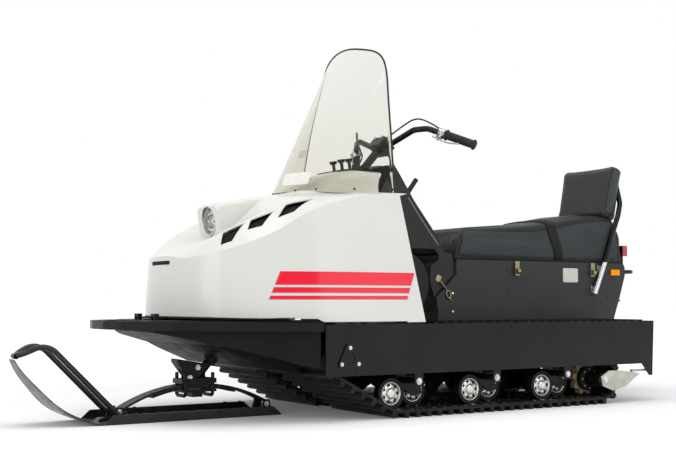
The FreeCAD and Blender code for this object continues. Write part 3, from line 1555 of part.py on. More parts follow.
def make_hood_hinge(s):
    """The lugs and pins on the hull's ledge, and the hood's tabs that turn on them."""
    tabs = []
    lugs = []
    axis = Vector(0, 1, 0)
    tab_half = float(s.hinge_tab_width) / 2
    lug = float(s.hinge_lug_thick)
    gap = float(s.fit_gap)
    boss = float(s.hinge_boss_radius)
    hinge = Vector(s.hinge_x, 0, s.hinge_z)
    inside = float(s.hood_nose_x - s.hood_wall - s.hinge_leg_gap)
    leg = float(s.hinge_leg_thick)
    low = float(s.hinge_z) - boss
    for side in (1, -1):
        middle = float(s.hinge_y) * side
        start = middle - tab_half
        arm = slab(
            [
                (inside - leg, low), (float(s.hinge_x), low),
                (float(s.hinge_x), float(s.hood_nose_z) - gap * 2),
                (inside, float(s.hood_nose_z) - gap * 2), (inside, low + float(s.hinge_leg_height)),
                (inside - leg, low + float(s.hinge_leg_height)),
            ],
            start, middle + tab_half, "Y",
        )
        knuckle = Part.makeCylinder(boss, s.hinge_tab_width, hinge + axis * start, axis)
        bore = Part.makeCylinder(float(s.hinge_pin_radius) + gap, s.hinge_tab_width, hinge + axis * start, axis)
        tabs.append(arm.fuse(knuckle).cut(bore))
        for outward in (1, -1):
            face = middle + (tab_half + float(s.hinge_side_gap)) * outward
            far = face + lug * outward
            base = float(s.hull_top)
            corners = [
                (float(s.hinge_x) - boss, base), (float(s.hinge_x) + boss, base),
                (float(s.hinge_x) + boss, float(s.hinge_z) + boss),
                (float(s.hinge_x) - boss, float(s.hinge_z) + boss),
            ]
            lugs.append(slab(corners, min(face, far), max(face, far), "Y"))
        reach = tab_half + float(s.hinge_side_gap)
        lugs.append(Part.makeCylinder(s.hinge_pin_radius, reach * 2, hinge + axis * (middle - reach), axis))
    pinned = []
    for number in (0, 3):
        pinned.append(lugs[number].multiFuse(lugs[number + 1:number + 3]))
    tab_piece = shape_piece("hinge_tabs", Part.makeCompound(tabs))
    return tab_piece, shape_piece("hinge_lugs", Part.makeCompound(pinned))


def screen_wire(s, height, inset):
    """The windshield's plan line at one height, a parabola round the middle."""
    share = (height - float(s.screen_base_z)) / float(s.overall_height - s.screen_base_z)
    front = float(s.screen_base_x) + float(s.screen_top_x - s.screen_base_x) * share
    low_bend = float(s.screen_base_x - s.screen_edge_x) / float(s.screen_half) ** 2
    high_bend = float(s.screen_top_x - s.screen_top_edge_x) / float(s.screen_top_half) ** 2
    bend = low_bend + (high_bend - low_bend) * share
    outer = []
    inner = []
    for step in range(-SCREEN_STEPS, SCREEN_STEPS + 1):
        side = float(s.screen_half) * SCREEN_SPREAD * step / SCREEN_STEPS
        across = front - bend * side * side
        slope = 2 * bend * side
        norm = math.hypot(1, slope)
        outer.append(Vector(across, side, height))
        inner.append(Vector(across - inset / norm, side - inset * slope / norm, height))
    lines = []
    for points in (outer, inner[::-1]):
        curve = Part.BSplineCurve()
        curve.interpolate(points)
        lines.append(curve.toShape())
    ends = [Part.LineSegment(outer[-1], inner[-1]).toShape(), Part.LineSegment(inner[0], outer[0]).toShape()]
    return Part.Wire([lines[0], ends[0], lines[1], ends[1]])


def make_windshield(s, hood_outside):
    """The clear screen bent round the cowl, with its upper corners rounded off."""
    thick = float(s.screen_thick)
    low = float(s.screen_base_z)
    high = float(s.overall_height + s.cut_overrun)
    sheet = Part.makeLoft([screen_wire(s, low, thick), screen_wire(s, high, thick)], True, True)
    rise = float(s.overall_height) - low
    half = float(s.screen_half)
    behind = float(s.hood_rear_x) - float(s.screen_half)
    left = [Vector(behind, half * side, low + rise * up) for side, up in SCREEN_EDGE_SHARES]
    right = [Vector(point.x, -point.y, point.z) for point in reversed(left)]
    curve = Part.BSplineCurve()
    curve.interpolate(left + [Vector(behind, 0, float(s.overall_height))] + right)
    outline = Part.Wire([curve.toShape(), Part.LineSegment(right[-1], left[0]).toShape()])
    front = Part.Face(outline).extrude(Vector(float(s.hood_nose_x) - behind, 0, 0))
    screen = sheet.common(front).cut(hood_outside)
    solids = sorted(screen.Solids, key=lambda solid: solid.Volume)
    return shape_piece("windshield", solids[-1])


def make_column(s):
    """The straight steering column, inclined from the spindle to the handlebar."""
    return shape_piece("steering_column", column_cylinder(s, s.column_radius))


def make_column_stays(s):
    """The bushes of the column: one on the hull, one on a cross plate in the console."""
    foot, head = column_points(s)
    along = (head - foot).normalize()
    gap = float(s.fit_gap)
    lower = on_column(s, s.lower_bush_at)
    upper = on_column(s, s.upper_bush_at)
    half = float(s.console_half - s.sheet_wall)
    plate_depth = float(s.bush_radius)
    across = Vector(along.z, 0, -along.x)
    corner = upper - across * plate_depth - Vector(0, half, 0)
    points = [
        corner,
        corner + across * plate_depth * 2,
        corner + across * plate_depth * 2 + Vector(0, half * 2, 0),
        corner + Vector(0, half * 2, 0),
    ]
    plate = Part.Face(Part.makePolygon(points + points[:1])).extrude(along * float(s.stay_thick))
    bore = Part.makeCylinder(float(s.column_radius) + gap, float(s.overall_height), foot, along)
    ring = Part.makeCylinder(float(s.column_radius + s.column_hole_gap) - gap, s.bush_height, lower, along)
    stay = shape_piece("column_stay", plate.cut(bore))
    bush = shape_piece("column_bush", ring.cut(bore))
    return [join("column_bearings", [stay, bush])]


def bar_points(s):
    """The handlebar's bends on the left, from the clamp to the bar's end."""
    foot, head = column_points(s)
    along = (head - foot).normalize()
    middle = head + along * float(s.column_end + s.clamp_height / 2)
    reach = float(s.bar_reach_y)
    return [middle + Vector(-reach * back, reach * side, reach * up) for side, back, up in BAR_SHARES]


def make_handlebar(s):
    """The bent handlebar and the block that clamps it to the column."""
    left = bar_points(s)
    right = [Vector(point.x, -point.y, point.z) for point in left[:0:-1]]
    bar = rod(right + left[1:], s.bar_radius, s.bar_bend)
    foot, head = column_points(s)
    along = (head - foot).normalize()
    base = head + along * float(s.column_end)
    across = Vector(along.z, 0, -along.x)
    half_length = float(s.clamp_length) / 2
    half_width = float(s.clamp_width) / 2
    corner = base - across * half_length - Vector(0, half_width, 0)
    points = [
        corner,
        corner + across * half_length * 2,
        corner + across * half_length * 2 + Vector(0, half_width * 2, 0),
        corner + Vector(0, half_width * 2, 0),
    ]
    block = Part.Face(Part.makePolygon(points + points[:1])).extrude(along * float(s.clamp_height))
    channel = pin(
        Vector(left[0].x, -half_width, left[0].z), Vector(left[0].x, half_width, left[0].z), s.bar_radius,
    )
    return shape_piece("handlebar", bar), shape_piece("bar_clamp", block.cut(channel))


def grip_line(s):
    """The bar's end and the direction from there back along the grip."""
    points = bar_points(s)
    return points[-1], (points[-2] - points[-1]).normalize()


def make_grips(s):
    """The rubber grips with their end flanges."""
    end, inward = grip_line(s)
    sleeve = Part.makeCylinder(s.grip_radius, s.grip_length, end, inward)
    flange = Part.makeCylinder(s.grip_flange, s.grip_flange_width, end, inward)
    bore = Part.makeCylinder(s.bar_radius, s.grip_length, end, inward)
    return shape_piece("grips", both_sides(sleeve.fuse(flange).cut(bore)))


def make_levers(s):
    """The brake lever and the throttle lever, each on a clamp round the bar."""
    end, inward = grip_line(s)
    start = end + inward * float(s.grip_length + s.fit_gap)
    ahead = Vector(inward.z, 0, -inward.x).normalize()
    clamp = Part.makeCylinder(s.lever_clamp_radius, s.lever_clamp_width, start, inward)
    bore = Part.makeCylinder(s.bar_radius, s.lever_clamp_width, start, inward)
    root = start + inward * float(s.lever_clamp_width) / 2 + ahead * float(s.lever_clamp_radius) * 0.6
    knee = root + ahead * float(s.lever_drop) - inward * float(s.lever_clamp_width)
    tip = knee - inward * float(s.lever_length) + ahead * float(s.lever_drop) * 0.5
    blade = rod([root, knee, tip], s.lever_thick / 2, s.lever_clamp_width)
    clamp = clamp.fuse(blade).cut(bore)
    return shape_piece("hand_levers", both_sides(clamp))


def make_cables(s):
    """The held control cables, from the lever clamps along the bar and down the column."""
    end, inward = grip_line(s)
    foot, head = column_points(s)
    along = (head - foot).normalize()
    front = Vector(along.z, 0, -along.x)
    radius = float(s.cable_radius)
    above = Vector(0, 0, float(s.bar_radius) + radius * 1.5)
    start = end + inward * float(s.grip_length + s.lever_clamp_width + s.fit_gap) + above
    shapes = []
    for side in (1, -1):
        route = []
        for back, out, up in CABLE_ROUTE:
            route.append(Vector(back, out, up))
        lean = Vector(0, float(s.cable_side), 0)
        under = float(s.column_radius) + radius + float(s.fit_gap)
        low = on_column(s, s.cable_end_at) + front * under + lean
        route = [start] + route + [on_column(s, s.cable_clip_at) + front * under + lean, low]
        path = smooth_path(route)
        section = Part.Wire(Part.makeCircle(radius, route[0], route[1] - route[0]))
        tube = path.makePipeShell([section], True, False)
        print("cable length", round(path.Length))
        shapes.append(tube if side > 0 else tube.mirror(Vector(0, 0, 0), Vector(0, 1, 0)))
    return shape_piece("cable_left", shapes[0]), shape_piece("cable_right", shapes[1])


def smooth_path(points):
    """Straight runs joined by tangent arcs, each as large as its two runs allow."""
    edges = []
    start = points[0]
    for before, corner, after in zip(points, points[1:], points[2:]):
        inward = before - corner
        outward = after - corner
        reach = CABLE_RUN_SHARE * min(inward.Length, outward.Length)
        inward.normalize()
        outward.normalize()
        half_turn = (math.pi - inward.getAngle(outward)) / 2
        bend = reach / math.tan(half_turn)
        middle_way = (inward + outward).normalize()
        centre = corner + middle_way * (bend / math.cos(half_turn))
        entry = corner + inward * reach
        leave = corner + outward * reach
        edges.append(Part.LineSegment(start, entry).toShape())
        edges.append(Part.Arc(entry, centre - middle_way * bend, leave).toShape())
        print("cable bend radius", round(bend))
        start = leave
    edges.append(Part.LineSegment(start, points[-1]).toShape())
    return Part.Wire(edges)


def spring_face(s, rear_x, front_x, lift, thick):
    """The side of one leaf: two arcs a leaf's thickness apart."""
    middle = float(s.spindle_x)
    rise = float(s.spring_crown_z - s.spring_end_z)
    half_run = float(s.spring_front_x - s.spring_rear_x) / 2
    lines = []
    for level in (lift, lift + thick):
        ends = []
        for across in (rear_x, front_x):
            drop = rise * ((across - middle) / half_run) ** 2
            ends.append(Vector(across, 0, float(s.spring_crown_z) - drop + level))
        crown = Vector(middle, 0, float(s.spring_crown_z) + level)
        lines.append(Part.Arc(ends[0], crown, ends[1]).toShape())
    caps = [
        Part.LineSegment(lines[0].Vertexes[1].Point, lines[1].Vertexes[1].Point).toShape(),
        Part.LineSegment(lines[1].Vertexes[0].Point, lines[0].Vertexes[0].Point).toShape(),
    ]
    return Part.Face(Part.Wire(Part.__sortEdges__([lines[0], caps[0], lines[1], caps[1]])))


def make_spring(s):
    """The leaf spring of the ski: a long leaf and a short one under it."""
    half = float(s.spring_width) / 2
    leaf = float(s.spring_leaf)
    rear = float(s.spring_rear_x)
    front = float(s.spring_front_x)
    shapes = []
    for low_share, lift in ((0.0, 0.0), (0.22, -leaf)):
        start = rear + (front - rear) * low_share
        end = front - (front - rear) * low_share
        face = spring_face(s, start, end, lift, leaf)
        face.translate(Vector(0, -half, 0))
        shapes.append(face.extrude(Vector(0, half * 2, 0)))
    return shape_piece("leaf_spring", shapes[0].fuse(shapes[1]).removeSplitter())


def make_ski(s):
    """The pressed ski: a flat sole with side flanges, turned up at the nose."""
    nose = float(s.ski_nose_x)
    tip = float(s.overall_length) / 2
    rear = float(s.ski_rear_x)
    rise = float(s.ski_tip_z) - float(s.ski_thick)
    thick = float(s.ski_thick)
    sole = []
    for lift in (0, thick):
        points = [Vector(nose, 0, lift)]
        points += [Vector(nose + (tip - nose) * along, 0, rise * up + lift) for along, up in SKI_SIDE_SHARES]
        curve = Part.BSplineCurve()
        curve.interpolate(points, InitialTangent=Vector(1, 0, 0), FinalTangent=Vector(0.5, 0, 1))
        sole.append((Part.LineSegment(Vector(rear, 0, lift), points[0]).toShape(), curve.toShape(), points[-1]))
    outline = Part.Wire(Part.__sortEdges__([
        sole[0][0], sole[0][1], Part.LineSegment(sole[0][2], sole[1][2]).toShape(), sole[1][1], sole[1][0],
        Part.LineSegment(Vector(rear, 0, thick), Vector(rear, 0, 0)).toShape(),
    ]))
    half = float(s.ski_half)
    face = Part.Face(outline)
    face.translate(Vector(0, -half, 0))
    sheet = face.extrude(Vector(0, half * 2, 0))
    flange_top = float(s.ski_flange)
    ramp = float(s.ski_flange)
    flanges = []
    for side in (1, -1):
        corners = [
            (rear, 0), (nose, 0), (nose, thick), (nose - ramp, flange_top), (rear + ramp, flange_top),
            (rear, thick),
        ]
        low, high = sorted((half * side, (half - thick) * side))
        flanges.append(slab(corners, low, high, "Y"))
    body = sheet.multiFuse(flanges)
    plan = [(rear, half), (nose, half)]
    plan += [(nose + (tip - nose) * along, half * side) for along, side in SKI_PLAN_SHARES]
    plan += [(across, -side) for across, side in plan[::-1]]
    trimmed = body.common(slab(plan, 0, s.overall_height, "Z"))
    return join("ski", [shape_piece("ski_sheet", trimmed.removeSplitter()), make_keel(s)])


def make_ski_loop(s):
    """The lifting bow of the ski, from the sole up over the nose and back."""
    radius = float(s.loop_bar_radius)
    tip = float(s.overall_length) / 2 - radius
    side = float(s.loop_half)
    foot_z = float(s.ski_thick + s.fit_gap) + radius
    points = [
        Vector(s.loop_foot_x, side, foot_z),
        Vector(s.loop_foot_x + s.loop_foot_run, side, foot_z),
        Vector(float(s.loop_peak_x), side, float(s.loop_peak_z)),
        Vector(tip, side * 0.8, float(s.ski_tip_z) + radius + float(s.fit_gap)),
    ]
    points += [Vector(point.x, -point.y, point.z) for point in points[::-1]]
    return shape_piece("ski_loop", rod(points, radius, s.loop_bend))


def make_ski_brackets(s):
    """The ears on the ski that hold the spring's ends, with their pins."""
    shapes = []
    half = float(s.spring_width) / 2 + float(s.fit_gap)
    ear = float(s.bracket_thick)
    radius = float(s.eye_radius)
    for across in (s.spring_rear_x, s.spring_front_x):
        x = float(across)
        height = float(s.spring_end_z + s.spring_leaf / 2)
        ears = []
        for low in (-half - ear, half):
            corners = [
                (x - radius * 2, float(s.ski_thick)), (x + radius * 2, float(s.ski_thick)),
                (x + radius, height + radius), (x - radius, height + radius),
            ]
            ears.append(slab(corners, low, low + ear, "Y"))
        shapes.append(ears[0])
        shapes.append(ears[1])
    return shape_piece("spring_brackets", Part.makeCompound(shapes))


def make_spindle(s):
    """The spindle's fork on the spring, its clamp plates and the tongue below."""
    middle = float(s.spindle_x)
    leaf = float(s.spring_leaf)
    top = float(s.spring_crown_z) + leaf + float(s.fit_gap)
    half_length = float(s.saddle_length) / 2
    half_width = float(s.saddle_width) / 2
    saddle = Part.makeBox(
        half_length * 2, half_width * 2, s.saddle_height, Vector(middle - half_length, -half_width, top),
    )
    run = s.fork_front_reach
    base = top + float(s.saddle_height)
    rise = float(s.fork_top_z) - base
    side = [(middle + float(run) * along, base + rise * up) for along, up in FORK_SIDE_SHARES]
    fork_half = float(s.fork_width) / 2
    fork = slab(side, -fork_half, fork_half, "Y")
    whole = saddle.fuse(fork).cut(column_cylinder(s, s.column_radius))
    half_run = float(s.spring_front_x - s.spring_rear_x) / 2
    droop = float(s.spring_crown_z - s.spring_end_z) * (half_length / half_run) ** 2
    bottom = float(s.spring_crown_z) - leaf - droop - float(s.fit_gap)
    plate = Part.makeBox(
        half_length * 2, half_width * 2, leaf, Vector(middle - half_length, -half_width, bottom - leaf),
    )
    tongue_half = float(s.tongue_width) / 2
    tongue = Part.makeBox(
        s.tongue_length, tongue_half * 2, bottom - leaf - float(s.tongue_bottom),
        Vector(middle - float(s.tongue_length) / 2, -tongue_half, s.tongue_bottom),
    )
    bolts = []
    radius = float(s.u_bolt_radius)
    out = float(s.spring_width) / 2 + radius + float(s.fit_gap)
    low = bottom - leaf - radius * 2
    high = base + float(s.u_bolt_rise)
    holes = []
    for across in (
        middle - half_length + float(s.u_bolt_share_gap), middle + half_length - float(s.u_bolt_share_gap),
    ):
        points = [
            Vector(across, -out, high), Vector(across, -out, low), Vector(across, out, low),
            Vector(across, out, high),
        ]
        bolts.append(rod(points, radius, radius * 2))
        for side in (-out, out):
            holes.append(Part.makeCylinder(radius + float(s.fit_gap), high, Vector(across, side, low)))
    hole_set = holes[0].multiFuse(holes[1:])
    fork_piece = shape_piece("spindle_fork", whole.cut(hole_set))
    clamp_piece = shape_piece("spring_clamp_plate", plate.fuse(tongue).cut(hole_set))
    bolt_piece = shape_piece("spring_bolts", Part.makeCompound(bolts))
    return join("spindle_bracket", [fork_piece, clamp_piece]), bolt_piece


def make_keel(s):
    """The raised keel under the ski's middle and the wear bar beneath the heel."""
    half = float(s.ski_keel_width) / 2
    low = float(s.ski_thick)
    rear = float(s.ski_rear_x)
    nose = float(s.ski_nose_x)
    height = float(s.ski_keel_height)
    corners = [
        (rear + height, low), (nose - height, low), (nose - height * 2, low + height),
        (rear + height * 2, low + height),
    ]
    return shape_piece("ski_keel", slab(corners, -half, half, "Y"))


def make_all(s):
    """Every node of the machine, in the order root, hood, steering."""
    deck = make_deck(s)
    skirts = make_skirts(s)
    hull = make_hull(s)
    left_track, right_track, loop = make_tracks(s)
    drive_axle, rear_axle = make_axles(s)
    nodes = [deck, *skirts, hull, make_bumper(s), make_beam(s), make_hitch(s), left_track, right_track]
    nodes += [drive_axle, rear_axle, make_wheels(s), make_bogies(s), make_hangers(s), make_bearings(s)]
    nodes += [make_tension(s), make_seat_box(s), make_console(s), make_dash(s), make_knobs(s), make_choke(s)]
    nodes += [make_engine(s), make_guard(s), make_latches(s), make_reflectors(s), *make_seat(s)]
    nodes += [make_backrest(s), *make_rest_frame(s), *make_tail(s), *make_column_stays(s)]
    hood, hood_outside = make_hood(s)
    nodes += [hood, make_windshield(s, hood_outside), *make_headlight(s), *make_hood_hinge(s)]
    nodes += [make_column(s), *make_handlebar(s), make_grips(s), make_levers(s), *make_cables(s)]
    nodes += [make_spring(s), make_ski(s), make_ski_loop(s), make_ski_brackets(s), *make_spindle(s)]
    return nodes


document = FreeCAD.newDocument("snowmobile")
sizes = Sheet(SIZES, FOLLOWING_SIZES)
finished = make_all(sizes)
document.recompute()
faults = [item.Label for item in document.Objects if "Invalid" in item.State or "Error" in item.State]
faults += [item.Label for item in finished if item.Shape.isNull() or not item.Shape.isValid()]
if faults:
    raise RuntimeError(f"These objects failed: {faults}")
os.makedirs("parts", exist_ok=True)
for item in finished:
    item.Shape.exportStep(f"parts/{item.Label}.step")
print(len(finished), "nodes written")
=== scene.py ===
"""The looks of a twin-track utility snowmobile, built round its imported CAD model.

All places are metres in the machine's own frame: X forward, Y to the rider's left, Z up.
"""

import logging
import math
from dataclasses import dataclass
from enum import Enum

import bmesh
import bpy
import numpy as np
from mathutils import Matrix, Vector
from mathutils.bvhtree import BVHTree


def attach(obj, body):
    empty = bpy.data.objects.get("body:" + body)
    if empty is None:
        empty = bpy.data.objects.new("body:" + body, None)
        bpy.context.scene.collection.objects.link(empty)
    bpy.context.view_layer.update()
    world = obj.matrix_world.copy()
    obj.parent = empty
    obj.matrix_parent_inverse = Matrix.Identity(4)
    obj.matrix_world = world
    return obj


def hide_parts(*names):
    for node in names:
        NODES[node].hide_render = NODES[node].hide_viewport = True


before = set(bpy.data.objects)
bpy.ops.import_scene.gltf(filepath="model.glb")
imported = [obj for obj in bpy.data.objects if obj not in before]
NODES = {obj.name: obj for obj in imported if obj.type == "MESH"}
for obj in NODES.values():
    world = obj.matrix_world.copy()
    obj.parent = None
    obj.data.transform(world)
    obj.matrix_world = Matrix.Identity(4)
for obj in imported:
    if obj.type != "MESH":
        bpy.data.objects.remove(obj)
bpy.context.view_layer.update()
LOG = logging.getLogger("snowmobile")

Colour = tuple[float, float, float]
Place = tuple[float, float, float]
Pair = tuple[float, float]
Outline = tuple[Pair, ...]
Socket = bpy.types.NodeSocket

FORWARD: Place = (1.0, 0.0, 0.0)
LEFTWARD: Place = (0.0, 1.0, 0.0)
UPWARD: Place = (0.0, 0.0, 1.0)
WHITE = (1.0, 1.0, 1.0, 1.0)
# Soft forms keep only the edges that are sharper than this many degrees.
SOFT_CREASE = 60.0


class Relief(Enum):
    """The small-scale relief of a finish."""

    FINE = "fine"
    LEATHER = "leather"
    WEAVE = "weave"
    BRUSHED = "brushed"
    SPANGLE = "spangle"
    CAST = "cast"


class Recipe:
    """Writes the nodes of one material round a Principled shader."""

    def __init__(self, name: str) -> None:
        """Starts an empty node material.

        Args:
            name: the material's name.
        """
        self.material = bpy.data.materials.new(name)
        self.material.use_nodes = True
        self.tree = self.material.node_tree
        self.shader = self.tree.nodes["Principled BSDF"]
        coordinates = self.node("ShaderNodeTexCoord")
        self.place = coordinates.outputs["Object"]
        self.facing = coordinates.outputs["Normal"]

    def node(self, kind: str, inputs: dict | None = None, **settings: object) -> bpy.types.Node:
        """Adds a node.

        Args:
            kind: the node's type.
            inputs: what goes into its sockets, as numbers or other sockets.
            settings: the node's own options.

        Returns:
            The new node.
        """
        made = self.tree.nodes.new(kind)
        for key, value in settings.items():
            setattr(made, key, value)
        for key, value in (inputs or {}).items():
            if isinstance(value, Socket):
                self.tree.links.new(value, made.inputs[key])
            elif value is not None:
                made.inputs[key].default_value = value
        return made

    def noise(self, scale: float, detail: float = 3.0, place: Socket | None = None) -> Socket:
        """Cloudy values from 0 to 1 with a given scale per metre."""
        inputs = {"Vector": place or self.place, "Scale": scale, "Detail": detail}
        return self.node("ShaderNodeTexNoise", inputs).outputs[0]

    def cells(self, scale: float, output: str = "Distance") -> Socket:
        """Voronoi cells with a given scale per metre."""
        return self.node("ShaderNodeTexVoronoi", {"Vector": self.place, "Scale": scale}).outputs[output]

    def math(self, operation: str, first: object, second: object = None) -> Socket:
        """One arithmetic step on two values."""
        return self.node("ShaderNodeMath", {0: first, 1: second}, operation=operation).outputs[0]

    def times(self, first: object, second: object) -> Socket:
        """The product of two values."""
        return self.math("MULTIPLY", first, second)

    def plus(self, first: object, second: object) -> Socket:
        """The sum of two values."""
        return self.math("ADD", first, second)

    def span(self, value: Socket, low: float, high: float, start: float, end: float) -> Socket:
        """Maps low..high to start..end, clamped."""
        inputs = {"Value": value, "From Min": low, "From Max": high, "To Min": start, "To Max": end}
        return self.node("ShaderNodeMapRange", inputs).outputs[0]

    def mix(self, factor: Socket, first: object, second: object) -> Socket:
        """Mixes two colours by a factor.

        Args:
            factor: the share of the second colour.
            first: a colour or the socket that gives it.
            second: likewise.

        Returns:
            The mixed colour's socket.
        """
        made = self.node("ShaderNodeMix", data_type="RGBA")
        for number, value in ((0, factor), (6, first), (7, second)):
            if isinstance(value, Socket):
                self.tree.links.new(value, made.inputs[number])
            else:
                made.inputs[number].default_value = (*value, 1.0)
        return made.outputs[2]

    def stretched(self, along: float, across: float, up: float) -> Socket:
        """The object place with each axis scaled."""
        inputs = {0: self.place, 1: (along, across, up)}
        return self.node("ShaderNodeVectorMath", inputs, operation="MULTIPLY").outputs[0]

    def axes(self) -> tuple[Socket, Socket, Socket]:
        """The object place as three numbers."""
        made = self.node("ShaderNodeSeparateXYZ", {0: self.place})
        return made.outputs[0], made.outputs[1], made.outputs[2]

    def sideways(self) -> Socket:
        """How far the surface faces left, from -1 to 1."""
        return self.node("ShaderNodeSeparateXYZ", {0: self.facing}).outputs[1]

    def between(self, value: Socket, low: float, high: float) -> Socket:
        """One where low < value < high and zero elsewhere."""
        return self.times(self.math("GREATER_THAN", value, low), self.math("LESS_THAN", value, high))

    def attribute(self, name: str) -> Socket:
        """A number that the mesh carries at its points."""
        return self.node("ShaderNodeAttribute", attribute_name=name).outputs["Fac"]

    def connect(self, socket: str, value: Socket) -> None:
        """Links a value to the shader."""
        self.tree.links.new(value, self.shader.inputs[socket])

    def bump(self, height: Socket, depth: float) -> None:
        """Gives the shader a relief of a depth in metres."""
        made = self.node("ShaderNodeBump", {"Height": height, "Distance": depth, "Strength": 1.0})
        self.connect("Normal", made.outputs[0])


@dataclass(frozen=True)
class Finish:
    """A surface finish: two tones, a roughness with its spread, a relief and wear."""

    name: str
    colour: Colour
    shade: Colour
    rough: float
    spread: float = 0.08
    metal: float = 0.0
    coat: float = 0.0
    specular: float = 0.5
    mottle: float = 7.0
    grain: float = 420.0
    depth: float = 0.00008
    relief: Relief = Relief.FINE
    wear: Colour | None = None
    wear_from: float = 0.66
    wear_edge: float = 0.04
    wear_most: float = 0.85
    wear_scale: float = 34.0
    coat_rough: float = 0.05
    leather_cloud: float = 0.4
    cast_cells: float = 0.5
    weave_turn: float = 6.3
    spangle_relief: float = 0.6
    spangle_shade: float = 0.55
    spangle_span: Pair = (0.2, 0.8)
    cloud_span: Pair = (0.35, 0.65)
    rough_span: Pair = (0.3, 0.7)
    least_rough: float = 0.02
    brushed_along: float = 0.05
    cast_scale: float = 0.4
    detail: float = 4.0
    cloud_detail: float = 5.0
    wear_detail: float = 9.0

    def height(self, recipe: Recipe) -> Socket:
        """The relief's height, from 0 to 1.

        Args:
            recipe: the material being written.

        Returns:
            The socket that gives the height.
        """
        if self.relief is Relief.LEATHER:
            cloud = recipe.times(recipe.noise(self.grain * 2), self.leather_cloud)
            return recipe.plus(recipe.cells(self.grain), cloud)
        if self.relief is Relief.WEAVE:
            along, across, up = recipe.axes()
            turns = self.grain * self.weave_turn
            warp = recipe.math("SINE", recipe.times(along, turns))
            side = recipe.math("SINE", recipe.times(recipe.plus(across, up), turns))
            return recipe.math("ABSOLUTE", recipe.times(warp, side))
        if self.relief is Relief.BRUSHED:
            grain = recipe.stretched(self.grain * self.brushed_along, self.grain, self.grain)
            return recipe.noise(1.0, self.detail, grain)
        if self.relief is Relief.SPANGLE:
            return recipe.times(recipe.cells(self.grain, "Color"), self.spangle_relief)
        if self.relief is Relief.CAST:
            cells = recipe.times(recipe.cells(self.grain * self.cast_scale), self.cast_cells)
            return recipe.plus(recipe.noise(self.grain, self.cloud_detail), cells)
        return recipe.noise(self.grain, self.detail)

    def tones(self, recipe: Recipe) -> Socket:
        """The colour: base and shade mottled together, with worn specks.

        Args:
            recipe: the material being written.

        Returns:
            The colour socket.
        """
        cloud = recipe.span(recipe.noise(self.mottle, self.cloud_detail), *self.cloud_span, 0.0, 1.0)
        colour = recipe.mix(cloud, self.colour, self.shade)
        if self.relief is Relief.SPANGLE:
            cells = recipe.cells(self.grain, "Color")
            cells = recipe.span(cells, *self.spangle_span, 0.0, self.spangle_shade)
            colour = recipe.mix(cells, colour, self.shade)
        if self.wear:
            until = self.wear_from + self.wear_edge
            specks = recipe.noise(self.wear_scale, self.wear_detail)
            worn = recipe.span(specks, self.wear_from, until, 0.0, self.wear_most)
            colour = recipe.mix(worn, colour, self.wear)
        return colour

    def recipe(self) -> Recipe:
        """The written material with its finish's numbers.

        Returns:
            The recipe that holds the material.
        """
        recipe = Recipe(self.title)
        recipe.shader.inputs["Metallic"].default_value = self.metal
        recipe.shader.inputs["Coat Weight"].default_value = self.coat
        recipe.shader.inputs["Coat Roughness"].default_value = self.coat_rough
        recipe.shader.inputs["Specular IOR Level"].default_value = self.specular
        recipe.connect("Base Color", self.tones(recipe))
        cloud = recipe.noise(self.mottle * 4, self.detail)
        least, most = max(self.least_rough, self.rough - self.spread), min(1.0, self.rough + self.spread)
        recipe.connect("Roughness", recipe.span(cloud, *self.rough_span, least, most))
        recipe.bump(self.height(recipe), self.depth)
        return recipe

    @property
    def title(self) -> str:
        """The material's name, apart from those of the record's slots."""
        return f"finish_{self.name}"

    def material(self) -> bpy.types.Material:
        """The finish's material, written once."""
        return bpy.data.materials.get(self.title) or self.recipe().material


@dataclass(frozen=True)
class HoodPaint(Finish):
    """White gelcoat with three plain red stripes low on each side."""

    red: Colour = (0.84, 0.0005, 0.026)
    grey: Colour = (0.30, 0.31, 0.31)
    stripe_x: tuple[float, float] = (0.14, 0.63)
    stripe_rows: Outline = ((0.462, 0.021), (0.424, 0.0085), (0.400, 0.0055))
    slant: float = 0.42
    slant_level: float = 0.43
    side_from: float = 0.33
    shadow: float = 0.0022
    shadow_top: float = 0.2

    def tones(self, recipe: Recipe) -> Socket:
        """Gelcoat tones with slanted-end bars on the outer face, each over a thin grey shadow line.

        Args:
            recipe: the material being written.

        Returns:
            The colour socket.
        """
        colour = super().tones(recipe)
        along, across, up = recipe.axes()
        rise = recipe.math("SUBTRACT", up, self.slant_level)
        lean = recipe.plus(along, recipe.times(rise, self.slant))
        outer = recipe.math("GREATER_THAN", recipe.times(across, recipe.sideways()), 0.0)
        wide = recipe.math("GREATER_THAN", recipe.math("ABSOLUTE", across), self.side_from)
        side = recipe.times(wide, outer)
        low, high = self.stripe_x
        for row, half in self.stripe_rows:
            for edge, tone in ((self.shadow, self.grey), (0.0, self.red)):
                bar = recipe.between(up, row - half - edge, row + half + edge * self.shadow_top)
                run = recipe.between(lean, low - edge, high + edge)
                mask = recipe.times(recipe.times(bar, run), side)
                colour = recipe.mix(mask, colour, tone)
        return colour


@dataclass(frozen=True)
class PanelVinyl(Finish):
    """Grained vinyl in two tones: the mesh's own 'panel' number says which, its seam lies at zero."""

    panel: Colour = (0.040, 0.049, 0.052)
    seam_half: float = 0.0006
    cloudy: float = 0.35

    def tones(self, recipe: Recipe) -> Socket:
        """The main tone outside the panel and the panel's tone inside it.

        Args:
            recipe: the material being written.

        Returns:
            The colour socket.
        """
        inside = recipe.span(recipe.attribute("panel"), -self.seam_half, self.seam_half, 0.0, 1.0)
        cloud = recipe.span(recipe.noise(self.mottle, self.cloud_detail), *self.rough_span, 0.0, self.cloudy)
        return recipe.mix(cloud, recipe.mix(inside, super().tones(recipe), self.panel), self.shade)


